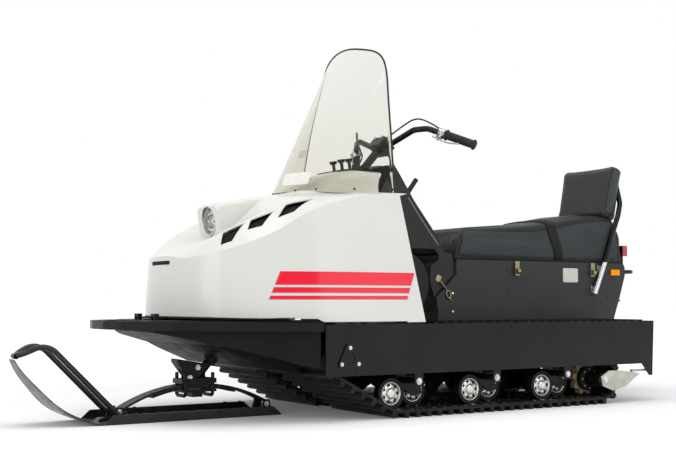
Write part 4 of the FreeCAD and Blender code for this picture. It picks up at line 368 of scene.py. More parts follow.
@dataclass(frozen=True)
class RimChrome(Finish):
    """Bright wheel metal with painted shade in the pressed slots that the mesh's own 'slot' number marks."""

    # Painted shade: the near-black that the pressed slots take in place of the shade inside them.
    dark: Colour = (0.02, 0.02, 0.019)
    slot_span: Pair = (0.35, 0.75)

    def tones(self, recipe: Recipe) -> Socket:
        """Chrome tones, with painted shade where the slot number nears one."""
        slot = recipe.span(recipe.attribute("slot"), *self.slot_span, 0.0, 1.0)
        return recipe.mix(slot, super().tones(recipe), self.dark)


@dataclass(frozen=True)
class HalfPaintedTube(Finish):
    """A bright tube that is painted black above a height."""

    black: Colour = (0.012, 0.012, 0.012)
    from_height: float = 0.548

    def tones(self, recipe: Recipe) -> Socket:
        """Tube tones below the height and paint above it."""
        upper = recipe.math("GREATER_THAN", recipe.axes()[2], self.from_height)
        return recipe.mix(upper, super().tones(recipe), self.black)


@dataclass(frozen=True)
class Clear(Finish):
    """A see-through plastic: a share of the light passes straight on."""

    low: Colour | None = None
    low_span: tuple[float, float] = (0.80, 1.25)
    passes: float = 0.8
    index: float = 1.45

    def tones(self, recipe: Recipe) -> Socket:
        """The tint, deeper towards the foot where one is given.

        Args:
            recipe: the material being written.

        Returns:
            The colour socket.
        """
        colour = super().tones(recipe)
        if self.low:
            rise = recipe.span(recipe.axes()[2], *self.low_span, 0.0, 1.0)
            colour = recipe.mix(rise, self.low, colour)
        return colour

    def recipe(self) -> Recipe:
        """The written material with its transmission and index of refraction.

        Returns:
            The recipe that holds the material.
        """
        recipe = super().recipe()
        recipe.shader.inputs["Transmission Weight"].default_value = self.passes
        recipe.shader.inputs["IOR"].default_value = self.index
        return recipe


GELCOAT = HoodPaint(
    "gelcoat_white", (0.69, 0.70, 0.66), (0.67, 0.68, 0.64), rough=0.16, spread=0.04, coat=0.08,
    specular=0.28, mottle=3.0, grain=90.0, depth=0.00006,
)
GLOSS_BLACK = Finish(
    "paint_gloss_black", (0.0055, 0.0055, 0.0055), (0.0085, 0.0085, 0.008), rough=0.2, spread=0.05,
    grain=120.0, depth=0.00005, wear=(0.03, 0.03, 0.028), wear_from=0.74, specular=0.2,
)
SATIN_BLACK = Finish(
    "paint_satin_black", (0.007, 0.007, 0.007), (0.011, 0.011, 0.0105), rough=0.34, spread=0.1,
    grain=500.0, depth=0.0001, wear=(0.05, 0.05, 0.048), wear_from=0.72, specular=0.2,
)
BUMPER_BLACK = Finish(
    "powder_black", (0.005, 0.005, 0.005), (0.007, 0.007, 0.0065), rough=0.36, spread=0.06, grain=650.0,
    depth=0.00012, specular=0.16,
)
TREAD_BLACK = Finish(
    "tread_plate_black", (0.014, 0.014, 0.013), (0.026, 0.025, 0.023), rough=0.38, spread=0.14,
    grain=260.0, depth=0.0002, wear=(0.09, 0.088, 0.08), wear_from=0.68, specular=0.2,
)
BOX_GREY = Finish(
    "paint_box_grey", (0.027, 0.0285, 0.0285), (0.031, 0.033, 0.033), rough=0.42, spread=0.06,
    grain=900.0, depth=0.00008, specular=0.22,
)
RUBBER = Finish(
    "track_rubber", (0.008, 0.0075, 0.0065), (0.018, 0.016, 0.013), rough=0.62, spread=0.14, mottle=14.0,
    grain=520.0, depth=0.0004, relief=Relief.CAST, wear=(0.06, 0.05, 0.038), wear_from=0.70, specular=0.2,
)
TYRE = Finish(
    "wheel_tyre_rubber", (0.010, 0.010, 0.010), (0.016, 0.016, 0.015), rough=0.5, spread=0.1, mottle=22.0,
    grain=600.0, depth=0.00015, relief=Relief.CAST, specular=0.2,
)
TAN = Finish(
    "sprocket_nylon", (0.42, 0.33, 0.20), (0.34, 0.26, 0.15), rough=0.5, spread=0.08, mottle=16.0,
    grain=300.0, depth=0.00015, wear=(0.12, 0.09, 0.05), wear_from=0.66,
)
CONSOLE_GREY = Finish(
    "paint_console_grey", (0.0145, 0.015, 0.015), (0.018, 0.019, 0.019), rough=0.42, spread=0.06,
    specular=0.22, grain=900.0, depth=0.00008,
)
PAN_BLACK = Finish(
    "paint_pan_black", (0.005, 0.005, 0.005), (0.008, 0.008, 0.0075), rough=0.5, spread=0.1,
    specular=0.12, grain=300.0, depth=0.0001, wear=(0.03, 0.03, 0.028), wear_from=0.74,
)
ZINC = Finish(
    "galvanised_sheet", (0.56, 0.56, 0.49), (0.42, 0.42, 0.36), rough=0.36, spread=0.1, metal=0.85,
    mottle=30.0, grain=160.0, depth=0.0001, relief=Relief.SPANGLE,
)
BOLT = Finish(
    "bolt_bright_zinc", (0.72, 0.73, 0.72), (0.55, 0.56, 0.55), rough=0.3, spread=0.1, metal=0.9,
    mottle=60.0, grain=900.0, depth=0.00006,
)
YELLOW_ZINC = Finish(
    "yellow_zinc", (0.33, 0.27, 0.145), (0.27, 0.235, 0.145), rough=0.32, spread=0.1, metal=0.8,
    mottle=45.0, grain=700.0, depth=0.00008,
)
BLACK_PLASTIC = Finish(
    "moulded_black", (0.012, 0.012, 0.012), (0.018, 0.018, 0.018), rough=0.46, spread=0.08, grain=1100.0,
    depth=0.00008, specular=0.2,
)
ENGINE = Finish(
    "cast_alloy", (0.26, 0.26, 0.25), (0.17, 0.17, 0.16), rough=0.5, spread=0.12, metal=0.6, mottle=20.0,
    grain=260.0, depth=0.0004, relief=Relief.CAST,
)
AMBER = Finish(
    "lens_amber", (1.0, 0.36, 0.001), (0.95, 0.32, 0.001), rough=0.3, spread=0.05, specular=0.2,
    mottle=60.0, grain=300.0, depth=0.0002, relief=Relief.LEATHER,
)
RED_LENS = Finish(
    "lens_red", (0.50, 0.02, 0.03), (0.40, 0.012, 0.02), rough=0.16, spread=0.05, coat=0.5, mottle=40.0,
    grain=260.0, depth=0.0002, relief=Relief.LEATHER,
)
SEAT_VINYL = PanelVinyl(
    "seat_vinyl", (0.019, 0.0205, 0.020), (0.024, 0.0255, 0.025), rough=0.50, spread=0.07, mottle=9.0,
    grain=560.0, depth=0.00022, relief=Relief.LEATHER, specular=0.14,
)
REST_VINYL = PanelVinyl(
    "backrest_vinyl", (0.026, 0.0275, 0.027), (0.030, 0.032, 0.031), rough=0.40, spread=0.07, mottle=9.0,
    grain=560.0, depth=0.00022, relief=Relief.LEATHER, specular=0.25,
)
PIPING = Finish(
    "seam_piping", (0.012, 0.013, 0.0135), (0.017, 0.018, 0.019), rough=0.4, spread=0.06, mottle=30.0,
    grain=900.0, depth=0.0001, relief=Relief.LEATHER, specular=0.2,
)
WEBBING = Finish(
    "strap_webbing", (0.010, 0.010, 0.010), (0.016, 0.016, 0.016), rough=0.72, spread=0.08, mottle=30.0,
    grain=520.0, depth=0.0003, relief=Relief.WEAVE, specular=0.2,
)
CHROME = HalfPaintedTube(
    "chrome_tube", (0.55, 0.56, 0.57), (0.40, 0.41, 0.42), rough=0.16, spread=0.05, metal=0.85,
    mottle=12.0, grain=300.0, depth=0.00003, wear=(0.3, 0.29, 0.27), wear_from=0.73,
)
ALLOY = Finish(
    "brushed_alloy", (0.42, 0.43, 0.42), (0.33, 0.34, 0.33), rough=0.26, spread=0.08, metal=0.95,
    mottle=30.0, grain=900.0, depth=0.00006, relief=Relief.BRUSHED,
)
RIM = RimChrome(
    "wheel_rim_chrome", (0.74, 0.74, 0.71), (0.60, 0.60, 0.57), rough=0.2, spread=0.08, metal=0.9,
    mottle=30.0, grain=500.0, depth=0.00008,
)
SCREEN = Clear(
    "screen_smoke", (0.86, 0.86, 0.825), (0.845, 0.84, 0.80), rough=0.02, spread=0.015, mottle=4.0,
    grain=60.0, depth=0.00001, low=(0.78, 0.765, 0.69), passes=1.0, index=1.25,
)
LENS = Clear(
    "lamp_lens_clear", (0.95, 0.96, 0.97), (0.92, 0.93, 0.94), rough=0.04, spread=0.02, mottle=20.0,
    grain=200.0, depth=0.0002, relief=Relief.LEATHER, passes=0.95, index=1.45,
)
LAMP_RING = Finish(
    "lamp_ring_pale", (0.60, 0.63, 0.60), (0.50, 0.54, 0.52), rough=0.25, spread=0.06, metal=0.4,
    mottle=30.0, grain=600.0, depth=0.00005,
)
MIRROR = Finish(
    "lamp_mirror", (0.88, 0.88, 0.88), (0.80, 0.80, 0.81), rough=0.08, spread=0.03, metal=1.0,
    mottle=40.0, grain=120.0, depth=0.0002,
)
GRIP = Finish(
    "grip_rubber", (0.016, 0.018, 0.018), (0.024, 0.026, 0.026), rough=0.6, spread=0.08, mottle=25.0,
    grain=700.0, depth=0.0002, relief=Relief.CAST, specular=0.2,
)
CABLE = Finish(
    "cable_sheath", (0.012, 0.012, 0.012), (0.018, 0.018, 0.018), rough=0.38, spread=0.06, mottle=30.0,
    grain=800.0, depth=0.00006, specular=0.2,
)
SKI_BLACK = Finish(
    "ski_black", (0.016, 0.016, 0.015), (0.024, 0.023, 0.021), rough=0.3, spread=0.1, coat=0.1,
    grain=240.0, depth=0.00015, wear=(0.07, 0.065, 0.06), wear_from=0.71, specular=0.2,
)
SPRING = Finish(
    "spring_steel_black", (0.013, 0.012, 0.011), (0.022, 0.02, 0.018), rough=0.42, spread=0.12, metal=0.3,
    mottle=24.0, grain=420.0, depth=0.0002, wear=(0.12, 0.10, 0.08), wear_from=0.7, specular=0.2,
)
STICKER = Finish(
    "bare_sticker", (0.80, 0.79, 0.76), (0.74, 0.73, 0.70), rough=0.4, spread=0.06, mottle=50.0,
    grain=700.0, depth=0.00004,
)
PLATE = Finish(
    "blank_plate", (0.66, 0.66, 0.60), (0.60, 0.60, 0.55), rough=0.36, spread=0.08, metal=0.1,
    mottle=50.0, grain=800.0, depth=0.00005, relief=Relief.BRUSHED,
)
# Painted highlight: a pale grey standing for the light caught along the console cover's folded edge.
EDGE_HIGHLIGHT = Finish(
    "painted_edge_highlight", (0.17, 0.18, 0.165), (0.14, 0.15, 0.135), rough=0.45, spread=0.08, mottle=30.0,
    grain=600.0, depth=0.00006,
)
# Painted shade: a near-black for the sheets that stand in for the shade inside the vents and the nose
# intake.
VENT_SHADE_BLACK = Finish(
    "vent_shade_black", (0.006, 0.0055, 0.005), (0.011, 0.010, 0.009), rough=0.7, spread=0.1,
    specular=0.15, mottle=40.0, grain=260.0, depth=0.0006, relief=Relief.WEAVE,
)
GASKET = Finish(
    "gasket_rubber", (0.016, 0.016, 0.015), (0.026, 0.026, 0.024), rough=0.55, spread=0.08, mottle=40.0,
    grain=700.0, depth=0.0001, specular=0.2,
)

NODE_FINISHES: dict[str, Finish] = {
    "deck": TREAD_BLACK, "skirt_left": GLOSS_BLACK, "skirt_right": GLOSS_BLACK, "belly_pan": PAN_BLACK,
    "bumper": BUMPER_BLACK, "centre_beam": SATIN_BLACK, "tow_hitch": SATIN_BLACK, "track_left": RUBBER,
    "track_right": RUBBER, "drive_axle": TAN, "rear_axle": TAN, "bogie_wheels": TYRE,
    "bogies": SATIN_BLACK, "pin_hangers": SATIN_BLACK, "axle_bearings": SATIN_BLACK,
    "tension_plates": ZINC, "seat_box": BOX_GREY, "console": CONSOLE_GREY, "dash_plate": SATIN_BLACK,
    "dash_knobs": BLACK_PLASTIC, "choke_lever": BLACK_PLASTIC, "engine_block": ENGINE,
    "clutch_guard": SATIN_BLACK, "seat_latches": YELLOW_ZINC, "side_reflectors": AMBER,
    "backrest_frame": CHROME, "lamp_bracket": SATIN_BLACK, "tail_lamp": RED_LENS,
    "tail_handle": SATIN_BLACK, "column_bearings": BLACK_PLASTIC, "hinge_lugs": BUMPER_BLACK,
    "hood": GELCOAT, "headlight": LENS, "headlight_ring": LAMP_RING, "hinge_tabs": BUMPER_BLACK,
    "steering_column": SATIN_BLACK, "handlebar": SATIN_BLACK, "bar_clamp": SATIN_BLACK,
    "leaf_spring": SPRING, "ski": SKI_BLACK, "ski_loop": SKI_BLACK, "spring_brackets": SPRING,
    "spindle_bracket": SPRING, "spring_bolts": SPRING,
}


@dataclass
class Form:
    """A surface as points and faces."""

    points: np.ndarray
    faces: list[tuple[int, ...]]

    def mirrored(self) -> "Form":
        """The same surface on the other side of the machine."""
        return Form(self.points * (1.0, -1.0, 1.0), [face[::-1] for face in self.faces])

    def upright(self, spot: Place) -> "Form":
        """The same surface with its Z turned to the left, moved to a spot."""
        return Form(self.points[:, (0, 2, 1)] + spot, self.faces)

    def mesh(self, name: str) -> bpy.types.Mesh:
        """The surface as a new mesh.

        Args:
            name: the mesh's name.

        Returns:
            The mesh.
        """
        made = bpy.data.meshes.new(name)
        made.from_pydata(self.points.tolist(), [], self.faces)
        return made


def linked(name: str, data: bpy.types.ID) -> bpy.types.Object:
    """A new object in the scene.

    Args:
        name: the object's name.
        data: its mesh, curve, light or camera.

    Returns:
        The object.
    """
    made = bpy.data.objects.new(name, data)
    bpy.context.scene.collection.objects.link(made)
    return made


def grid(points: np.ndarray, round_u: bool = False, round_v: bool = False, capped: bool = False) -> Form:
    """A quad surface over a table of points: face (i, j) joins rows i, i+1 and columns j, j+1.

    Args:
        points: an array of rows, columns and coordinates.
        round_u: joins the last row to the first.
        round_v: joins the last column to the first.
        capped: closes the first and last rows with one face each.

    Returns:
        The surface.
    """
    rows, columns = points.shape[:2]
    index = np.arange(rows * columns).reshape(rows, columns)
    if round_u:
        index = np.vstack((index, index[:1]))
    if round_v:
        index = np.hstack((index, index[:, :1]))
    quads = np.stack((index[:-1, :-1], index[1:, :-1], index[1:, 1:], index[:-1, 1:]), axis=-1)
    faces = [tuple(quad) for quad in quads.reshape(-1, 4).tolist()]
    if capped:
        faces += [tuple(range(columns)), tuple(range((rows - 1) * columns, rows * columns))]
    return Form(points.reshape(-1, 3), faces)


def joined(forms: list[Form]) -> Form:
    """Several surfaces as one.

    Args:
        forms: the surfaces.

    Returns:
        One surface that holds them all, its faces renumbered.
    """
    starts = np.cumsum([0] + [len(form.points) for form in forms]).tolist()
    faces = []
    for form, start in zip(forms, starts):
        faces += [tuple(int(corner) + start for corner in face) for face in form.faces]
    return Form(np.vstack([form.points for form in forms]), faces)


def turned(axis: Place) -> np.ndarray:
    """Three unit rows whose last is the axis, the others square to it.

    Args:
        axis: the direction of the last row.

    Returns:
        The rows.
    """
    third = np.array(axis, float) / np.linalg.norm(axis)
    helper = np.array(UPWARD) if abs(third[2]) < 0.9 else np.array(FORWARD)
    first = np.cross(helper, third)
    first /= np.linalg.norm(first)
    return np.stack((first, np.cross(third, first), third))


def walked(line: np.ndarray) -> np.ndarray:
    """How far along a polyline each of its points lies."""
    return np.concatenate(((0,), np.cumsum(np.linalg.norm(np.diff(line, axis=0), axis=1))))


def sampled(line: np.ndarray, wanted: np.ndarray) -> np.ndarray:
    """The places on a polyline at given distances along it."""
    steps = walked(line)
    return np.stack([np.interp(wanted, steps, line[:, axis]) for axis in range(line.shape[1])], axis=1)


def eased(line: np.ndarray, count: int, passes: int) -> np.ndarray:
    """A polyline walked at even steps, its corners rounded by repeated (a + 2b + c) / 4 averaging.

    Args:
        line: the points of the polyline.
        count: how many points come back.
        passes: how often the average runs, each time twice.

    Returns:
        The eased points, with both ends kept.
    """
    soft = sampled(line, np.linspace(0, walked(line)[-1], count))
    for _ in range(passes * 2):
        soft[1:-1] = (soft[:-2] + 2 * soft[1:-1] + soft[2:]) / 4
    return soft


def placed(form: Form, spots: list[Place], axes: list[Place]) -> Form:
    """Copies of a surface, each with its own Z laid along an axis.

    A copy's point is its spot plus the local point in the axis's own basis.

    Args:
        form: the surface to copy.
        spots: where each copy stands.
        axes: the direction of each copy's Z.

    Returns:
        All copies as one surface.
    """
    pairs = zip(spots, axes)
    return joined([Form(form.points @ turned(axis) + np.array(spot), form.faces) for spot, axis in pairs])


def on_side(form: Form, spots: list[Place]) -> Form:
    """Copies of a surface that stand out from the machine's left side."""
    return placed(form, spots, [LEFTWARD] * len(spots))


def round_turn(count: int) -> np.ndarray:
    """Evenly spaced angles once round, without the last."""
    return np.linspace(0, 2 * math.pi, count, endpoint=False)


def revolved(profile: np.ndarray | tuple, steps: int = 24) -> Form:
    """A profile of radius and height carried round Z: (r cos a, r sin a, h).

    Args:
        profile: pairs of radius and height; ends at radius 0 close.
        steps: how many places round.

    Returns:
        The surface of revolution.
    """
    angle = round_turn(steps)[:, None]
    radius, height = np.asarray(profile, float).T
    points = np.stack((radius * np.cos(angle), radius * np.sin(angle), height + 0 * angle), axis=-1)
    return grid(points, round_u=True)


def tube(path: np.ndarray | tuple, radius: float, sides: int = 10, closed: bool = False) -> Form:
    """A round section carried along a path: centre + radius (cos a side + sin a lift).

    Side is square to the path and to the direction in which the path spreads least, and lift is square
    to both.

    Args:
        path: the middle line.
        radius: of the section.
        sides: of the section.
        closed: joins the end to the start.

    Returns:
        The closed tube.
    """
    path = np.asarray(path, float)
    if closed:
        run = np.roll(path, -1, axis=0) - np.roll(path, 1, axis=0)
    else:
        run = np.gradient(path, axis=0)
    run /= np.linalg.norm(run, axis=1, keepdims=True)
    spread = np.linalg.svd(path - path.mean(0))[2][2]
    side = np.cross(run, spread)
    side /= np.linalg.norm(side, axis=1, keepdims=True)
    lift = np.cross(run, side)
    angle = round_turn(sides)[None, :, None]
    ring = np.cos(angle) * side[:, None] + np.sin(angle) * lift[:, None]
    return grid(path[:, None] + radius * ring, round_u=closed, round_v=True, capped=not closed)


def slab(width: float, height: float, thick: float, corner: float = 0.25, bulge: float = 0.0) -> Form:
    """A plate with rounded corners and softened edges, centred on its lower face.

    Its outline is a rounded rectangle with corners that take a share of the shorter side, carried up in
    five rings: full at the foot and shoulder, then drawn in towards the crown.

    Args:
        width: size along X.
        height: size along Y.
        thick: size along Z.
        corner: the corner radius as a share of the shorter side.
        bulge: how far the middle stands above the rim.

    Returns:
        The closed plate.
    """
    count = 32
    radius = corner * min(width, height)
    angle = round_turn(count) + math.pi / count
    unit = np.stack((np.cos(angle), np.sin(angle)), axis=1)
    core = np.array((width / 2 - radius, height / 2 - radius))
    outline = np.sign(unit) * core + unit * radius
    soft = min(thick, radius) * 0.35
    crown = min(width, height) / 2 * 0.98
    rings = [(0.0, soft * 0.4), (soft, 0.0), (thick - soft, 0.0), (thick, soft), (thick + bulge, crown)]
    size = np.array((width / 2, height / 2))
    points = []
    for level, inset in rings:
        points.append(np.column_stack((outline * (1 - inset / size), np.full(count, level))))
    return grid(np.stack(points), round_v=True, capped=True)


def pan_head(radius: float, height: float, sunk: float = 0.0006) -> Form:
    """A domed screw head: radius falls from the rim to the crown in a quarter round.

    Args:
        radius: of the rim.
        height: of the crown.
        sunk: how far the head reaches into what carries it.

    Returns:
        The closed head.
    """
    share = np.linspace(0, math.pi / 2, 5)
    rim = np.column_stack((radius * np.cos(share) ** 0.7, height * (0.3 + 0.7 * np.sin(share))))
    rim[-1, 0] = 0.0
    return revolved(np.vstack(((0.0, -sunk), (radius, -sunk), rim)), 16)


def hex_head(radius: float, height: float, washer: float = 0.0013, sunk: float = 0.0004) -> Form:
    """A hexagon head on a washer, both revolved, the head with six sides and a chamfered top.

    Args:
        radius: of the head's corners.
        height: of the head's top.
        washer: the washer's top.
        sunk: how far the washer reaches into what carries it.

    Returns:
        The closed head and washer.
    """
    wide, lap = radius * 1.35, 0.0001
    disc = revolved(((0, -sunk), (wide, -sunk), (wide, washer), (0, washer)), 20)
    foot, chamfer = washer - lap, (radius * 0.86, height)
    head = revolved(((0, foot), (radius, foot), (radius, height * 0.85), chamfer, (0, height)), 6)
    return joined([disc, head])


class Maker:
    """Puts finished surfaces into the scene."""

    @staticmethod
    def cleaned(mesh: bpy.types.Mesh, reach: float) -> None:
        """Merges a mesh's doubled points and turns its faces outward.

        Args:
            mesh: the mesh to change.
            reach: points nearer than this become one.
        """
        shape = bmesh.new()
        shape.from_mesh(mesh)
        bmesh.ops.remove_doubles(shape, verts=shape.verts, dist=reach)
        bmesh.ops.dissolve_degenerate(shape, edges=shape.edges, dist=1e-7)
        bmesh.ops.recalc_face_normals(shape, faces=shape.faces)
        shape.to_mesh(mesh)
        shape.free()
        mesh.shade_smooth()

    @staticmethod
    def piece(
        name: str, form: Form, finish: Finish, body: str, slot: str, crease: float = 35.0,
    ) -> bpy.types.Object:
        """Makes one piece from a surface.

        Args:
            name: the piece's name.
            form: its surface, in place.
            finish: its finish.
            body: the CAD body it rides on.
            slot: the record's material slot; not used.
            crease: edges sharper than this many degrees stay sharp.

        Returns:
            The new object.
        """
        mesh = form.mesh(name)
        Maker.cleaned(mesh, 1e-6)
        mesh.set_sharp_from_angle(angle=math.radians(crease))
        made = linked(name, mesh)
        mesh.materials.append(finish.material())
        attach(made, body)
        LOG.info("%s: %d faces on %s", name, len(mesh.polygons), body)
        return made

    @staticmethod
    def both(
        name: str, form: Form, finish: Finish, body: str, slot: str, crease: float = 35.0,
    ) -> bpy.types.Object:
        """One piece with a surface on the left and its mirror on the right."""
        return Maker.piece(name, joined([form, form.mirrored()]), finish, body, slot, crease)


def points_of(mesh: bpy.types.Mesh) -> np.ndarray:
    """A mesh's points as rows of coordinates.

    Args:
        mesh: the mesh to read.

    Returns:
        An array of its own, three columns wide.
    """
    points = np.empty(len(mesh.vertices) * 3, np.float32)
    mesh.vertices.foreach_get("co", points)
    return points.reshape(-1, 3)


def tree_of(made: bpy.types.Object) -> BVHTree:
    """A search tree over one object."""
    return BVHTree.FromObject(made, bpy.context.evaluated_depsgraph_get())


def seated(tree: BVHTree, spots: list[Place]) -> tuple[list[Place], list[Place]]:
    """Moves spots to the nearest point of a surface.

    Args:
        tree: the surface.
        spots: points near it.

    Returns:
        The points on the surface and its outward directions there.
    """
    found = [tree.find_nearest(Vector(spot)) for spot in spots]
    return [tuple(hit[0]) for hit in found], [tuple(hit[1]) for hit in found]


def frontward(axis: Place) -> Place:
    """The same line, pointed so that it leads forward."""
    return tuple(np.array(axis) * (1 if axis[0] > 0 else -1))


@dataclass(frozen=True)
class Lamp:
    """One square soft box."""

    name: str
    place: Place
    aim: Place
    size: float
    power: float

    def light(self) -> None:
        """Puts the lamp at its place, turned to its aim."""
        data = bpy.data.lights.new(self.name, "AREA")
        data.shape = "SQUARE"
        data.size = self.size
        data.energy = self.power
        made = linked(self.name, data)
        made.location = self.place
        made.rotation_euler = (Vector(self.aim) - Vector(self.place)).to_track_quat("-Z", "Y").to_euler()


@dataclass
class Studio:
    """The pale floor, the soft lamps, the white world and the camera."""

    eye: Place = (2.3299, 3.4053, 0.3899)
    heading: float = 237.392
    rise: float = 3.64
    lens: float = 58.27
    film: float = 36.0
    sight: float = 200.0
    ambient: float = 0.68
    floor_grey: float = 0.9
    floor_reach: float = 60.0
    near_glow: float = 0.06
    far_glow: float = 0.52
    glow_from: Pair = (1.4, 3.2)
    lamps: tuple[Lamp, ...] = (
        Lamp("soft_top", (0.4, 0.6, 4.2), (0.0, 0.0, 0.3), 3.6, 80.0),
        Lamp("soft_left", (-1.6, 4.4, 2.2), (0.0, 0.0, 0.4), 2.6, 37.0),
        Lamp("soft_nose", (4.6, 0.6, 1.8), (0.6, 0.0, 0.5), 2.0, 38.0),
    )

    def camera(self) -> None:
        """The photograph's camera: it looks along heading and rise from the eye."""
        data = bpy.data.cameras.new("camera")
        data.lens = self.lens
        data.sensor_width = self.film
        data.clip_end = self.sight
        made = linked("camera", data)
        turn, tilt = math.radians(self.heading), math.radians(self.rise)
        look = Vector((math.cos(turn) * math.cos(tilt), math.sin(turn) * math.cos(tilt), math.sin(tilt)))
        made.location = self.eye
        made.rotation_euler = look.to_track_quat("-Z", "Y").to_euler()
        bpy.context.scene.camera = made

    @staticmethod
    def seen(tree: bpy.types.NodeTree) -> Socket:
        """One for rays that show the background: camera, glossy and transmission rays.

        Args:
            tree: the node tree that needs it.

        Returns:
            The socket that gives it.
        """
        path = tree.nodes.new("ShaderNodeLightPath")
        value = path.outputs["Is Camera Ray"]
        for name in ("Is Glossy Ray", "Is Transmission Ray"):
            most = tree.nodes.new("ShaderNodeMath")
            most.operation = "MAXIMUM"
            tree.links.new(value, most.inputs[0])
            tree.links.new(path.outputs[name], most.inputs[1])
            value = most.outputs[0]
        return value

    def world(self) -> None:
        """White where it is seen, a soft grey light elsewhere."""
        world = bpy.data.worlds.new("world")
        world.use_nodes = True
        bpy.context.scene.world = world
        tree = world.node_tree
        lit = tree.nodes["Background"]
        lit.inputs["Color"].default_value = WHITE
        strength = tree.nodes.new("ShaderNodeMapRange")
        strength.inputs["To Min"].default_value = self.ambient
        strength.inputs["To Max"].default_value = 1.0
        tree.links.new(self.seen(tree), strength.inputs["Value"])
        tree.links.new(strength.outputs[0], lit.inputs["Strength"])

    def glow(self, tree: bpy.types.NodeTree) -> Socket:
        """The floor's own light: it grows with the distance from the machine and lights nothing.

        Args:
            tree: the floor's node tree.

        Returns:
            The socket that gives its strength.
        """
        place = tree.nodes.new("ShaderNodeTexCoord")
        reach = tree.nodes.new("ShaderNodeVectorMath")
        reach.operation = "LENGTH"
        tree.links.new(place.outputs["Object"], reach.inputs[0])
        glow = tree.nodes.new("ShaderNodeMapRange")
        glow.inputs["From Min"].default_value, glow.inputs["From Max"].default_value = self.glow_from
        glow.inputs["To Min"].default_value = self.near_glow
        glow.inputs["To Max"].default_value = self.far_glow
        tree.links.new(reach.outputs["Value"], glow.inputs["Value"])
        shown = tree.nodes.new("ShaderNodeMath")
        shown.operation = "MULTIPLY"
        tree.links.new(self.seen(tree), shown.inputs[0])
        tree.links.new(glow.outputs[0], shown.inputs[1])
        return shown.outputs[0]

    def floor(self) -> None:
        """A wide pale plane that keeps the machine's shadow and glows where the lamps no longer reach."""
        side = np.linspace(-self.floor_reach, self.floor_reach, 3)
        form = grid(np.stack((*np.meshgrid(side, side, indexing="ij"), np.zeros((3, 3))), axis=-1))
        mesh = form.mesh("floor")
        made = linked("floor", mesh)
        material = bpy.data.materials.new("floor_pale")
        material.use_nodes = True
        tree = material.node_tree
        shader = tree.nodes["Principled BSDF"]
        shader.inputs["Base Color"].default_value = (self.floor_grey,) * 3 + (1.0,)
        shader.inputs["Roughness"].default_value = 0.9
        shader.inputs["Specular IOR Level"].default_value = 0.0
        shader.inputs["Emission Color"].default_value = WHITE
        tree.links.new(self.glow(tree), shader.inputs["Emission Strength"])
        mesh.materials.append(material)

    def build(self) -> None:
        """The whole studio."""
        bpy.context.scene.view_settings.view_transform = "Standard"
        self.camera()
        self.world()
        self.floor()
        for lamp in self.lamps:
            lamp.light()


def polygon_distance(points: np.ndarray, corners: np.ndarray) -> np.ndarray:
    """Signed distance to a closed outline in a plane, positive inside.

    The nearest point of each edge is found by clamping the projection on it, and the sign by counting
    the edges that a ray along the first axis crosses.

    Args:
        points: places in the plane.
        corners: the outline.

    Returns:
        One distance a point.
    """
    start, end = corners, np.roll(corners, -1, axis=0)
    run = end - start
    away = points[:, None] - start[None]
    share = np.clip((away * run).sum(-1) / (run**2).sum(-1), 0, 1)
    nearest = np.linalg.norm(away - share[..., None] * run, axis=-1).min(1)
    across = (start[:, 1] > points[:, None, 1]) != (end[:, 1] > points[:, None, 1])
    level = np.where(run[:, 1] == 0, 1e-12, run[:, 1])
    meet = start[:, 0] + (points[:, None, 1] - start[:, 1]) * run[:, 0] / level
    inside = (across & (points[:, None, 0] < meet)).sum(1) % 2 == 1
    return np.where(inside, nearest, -nearest)


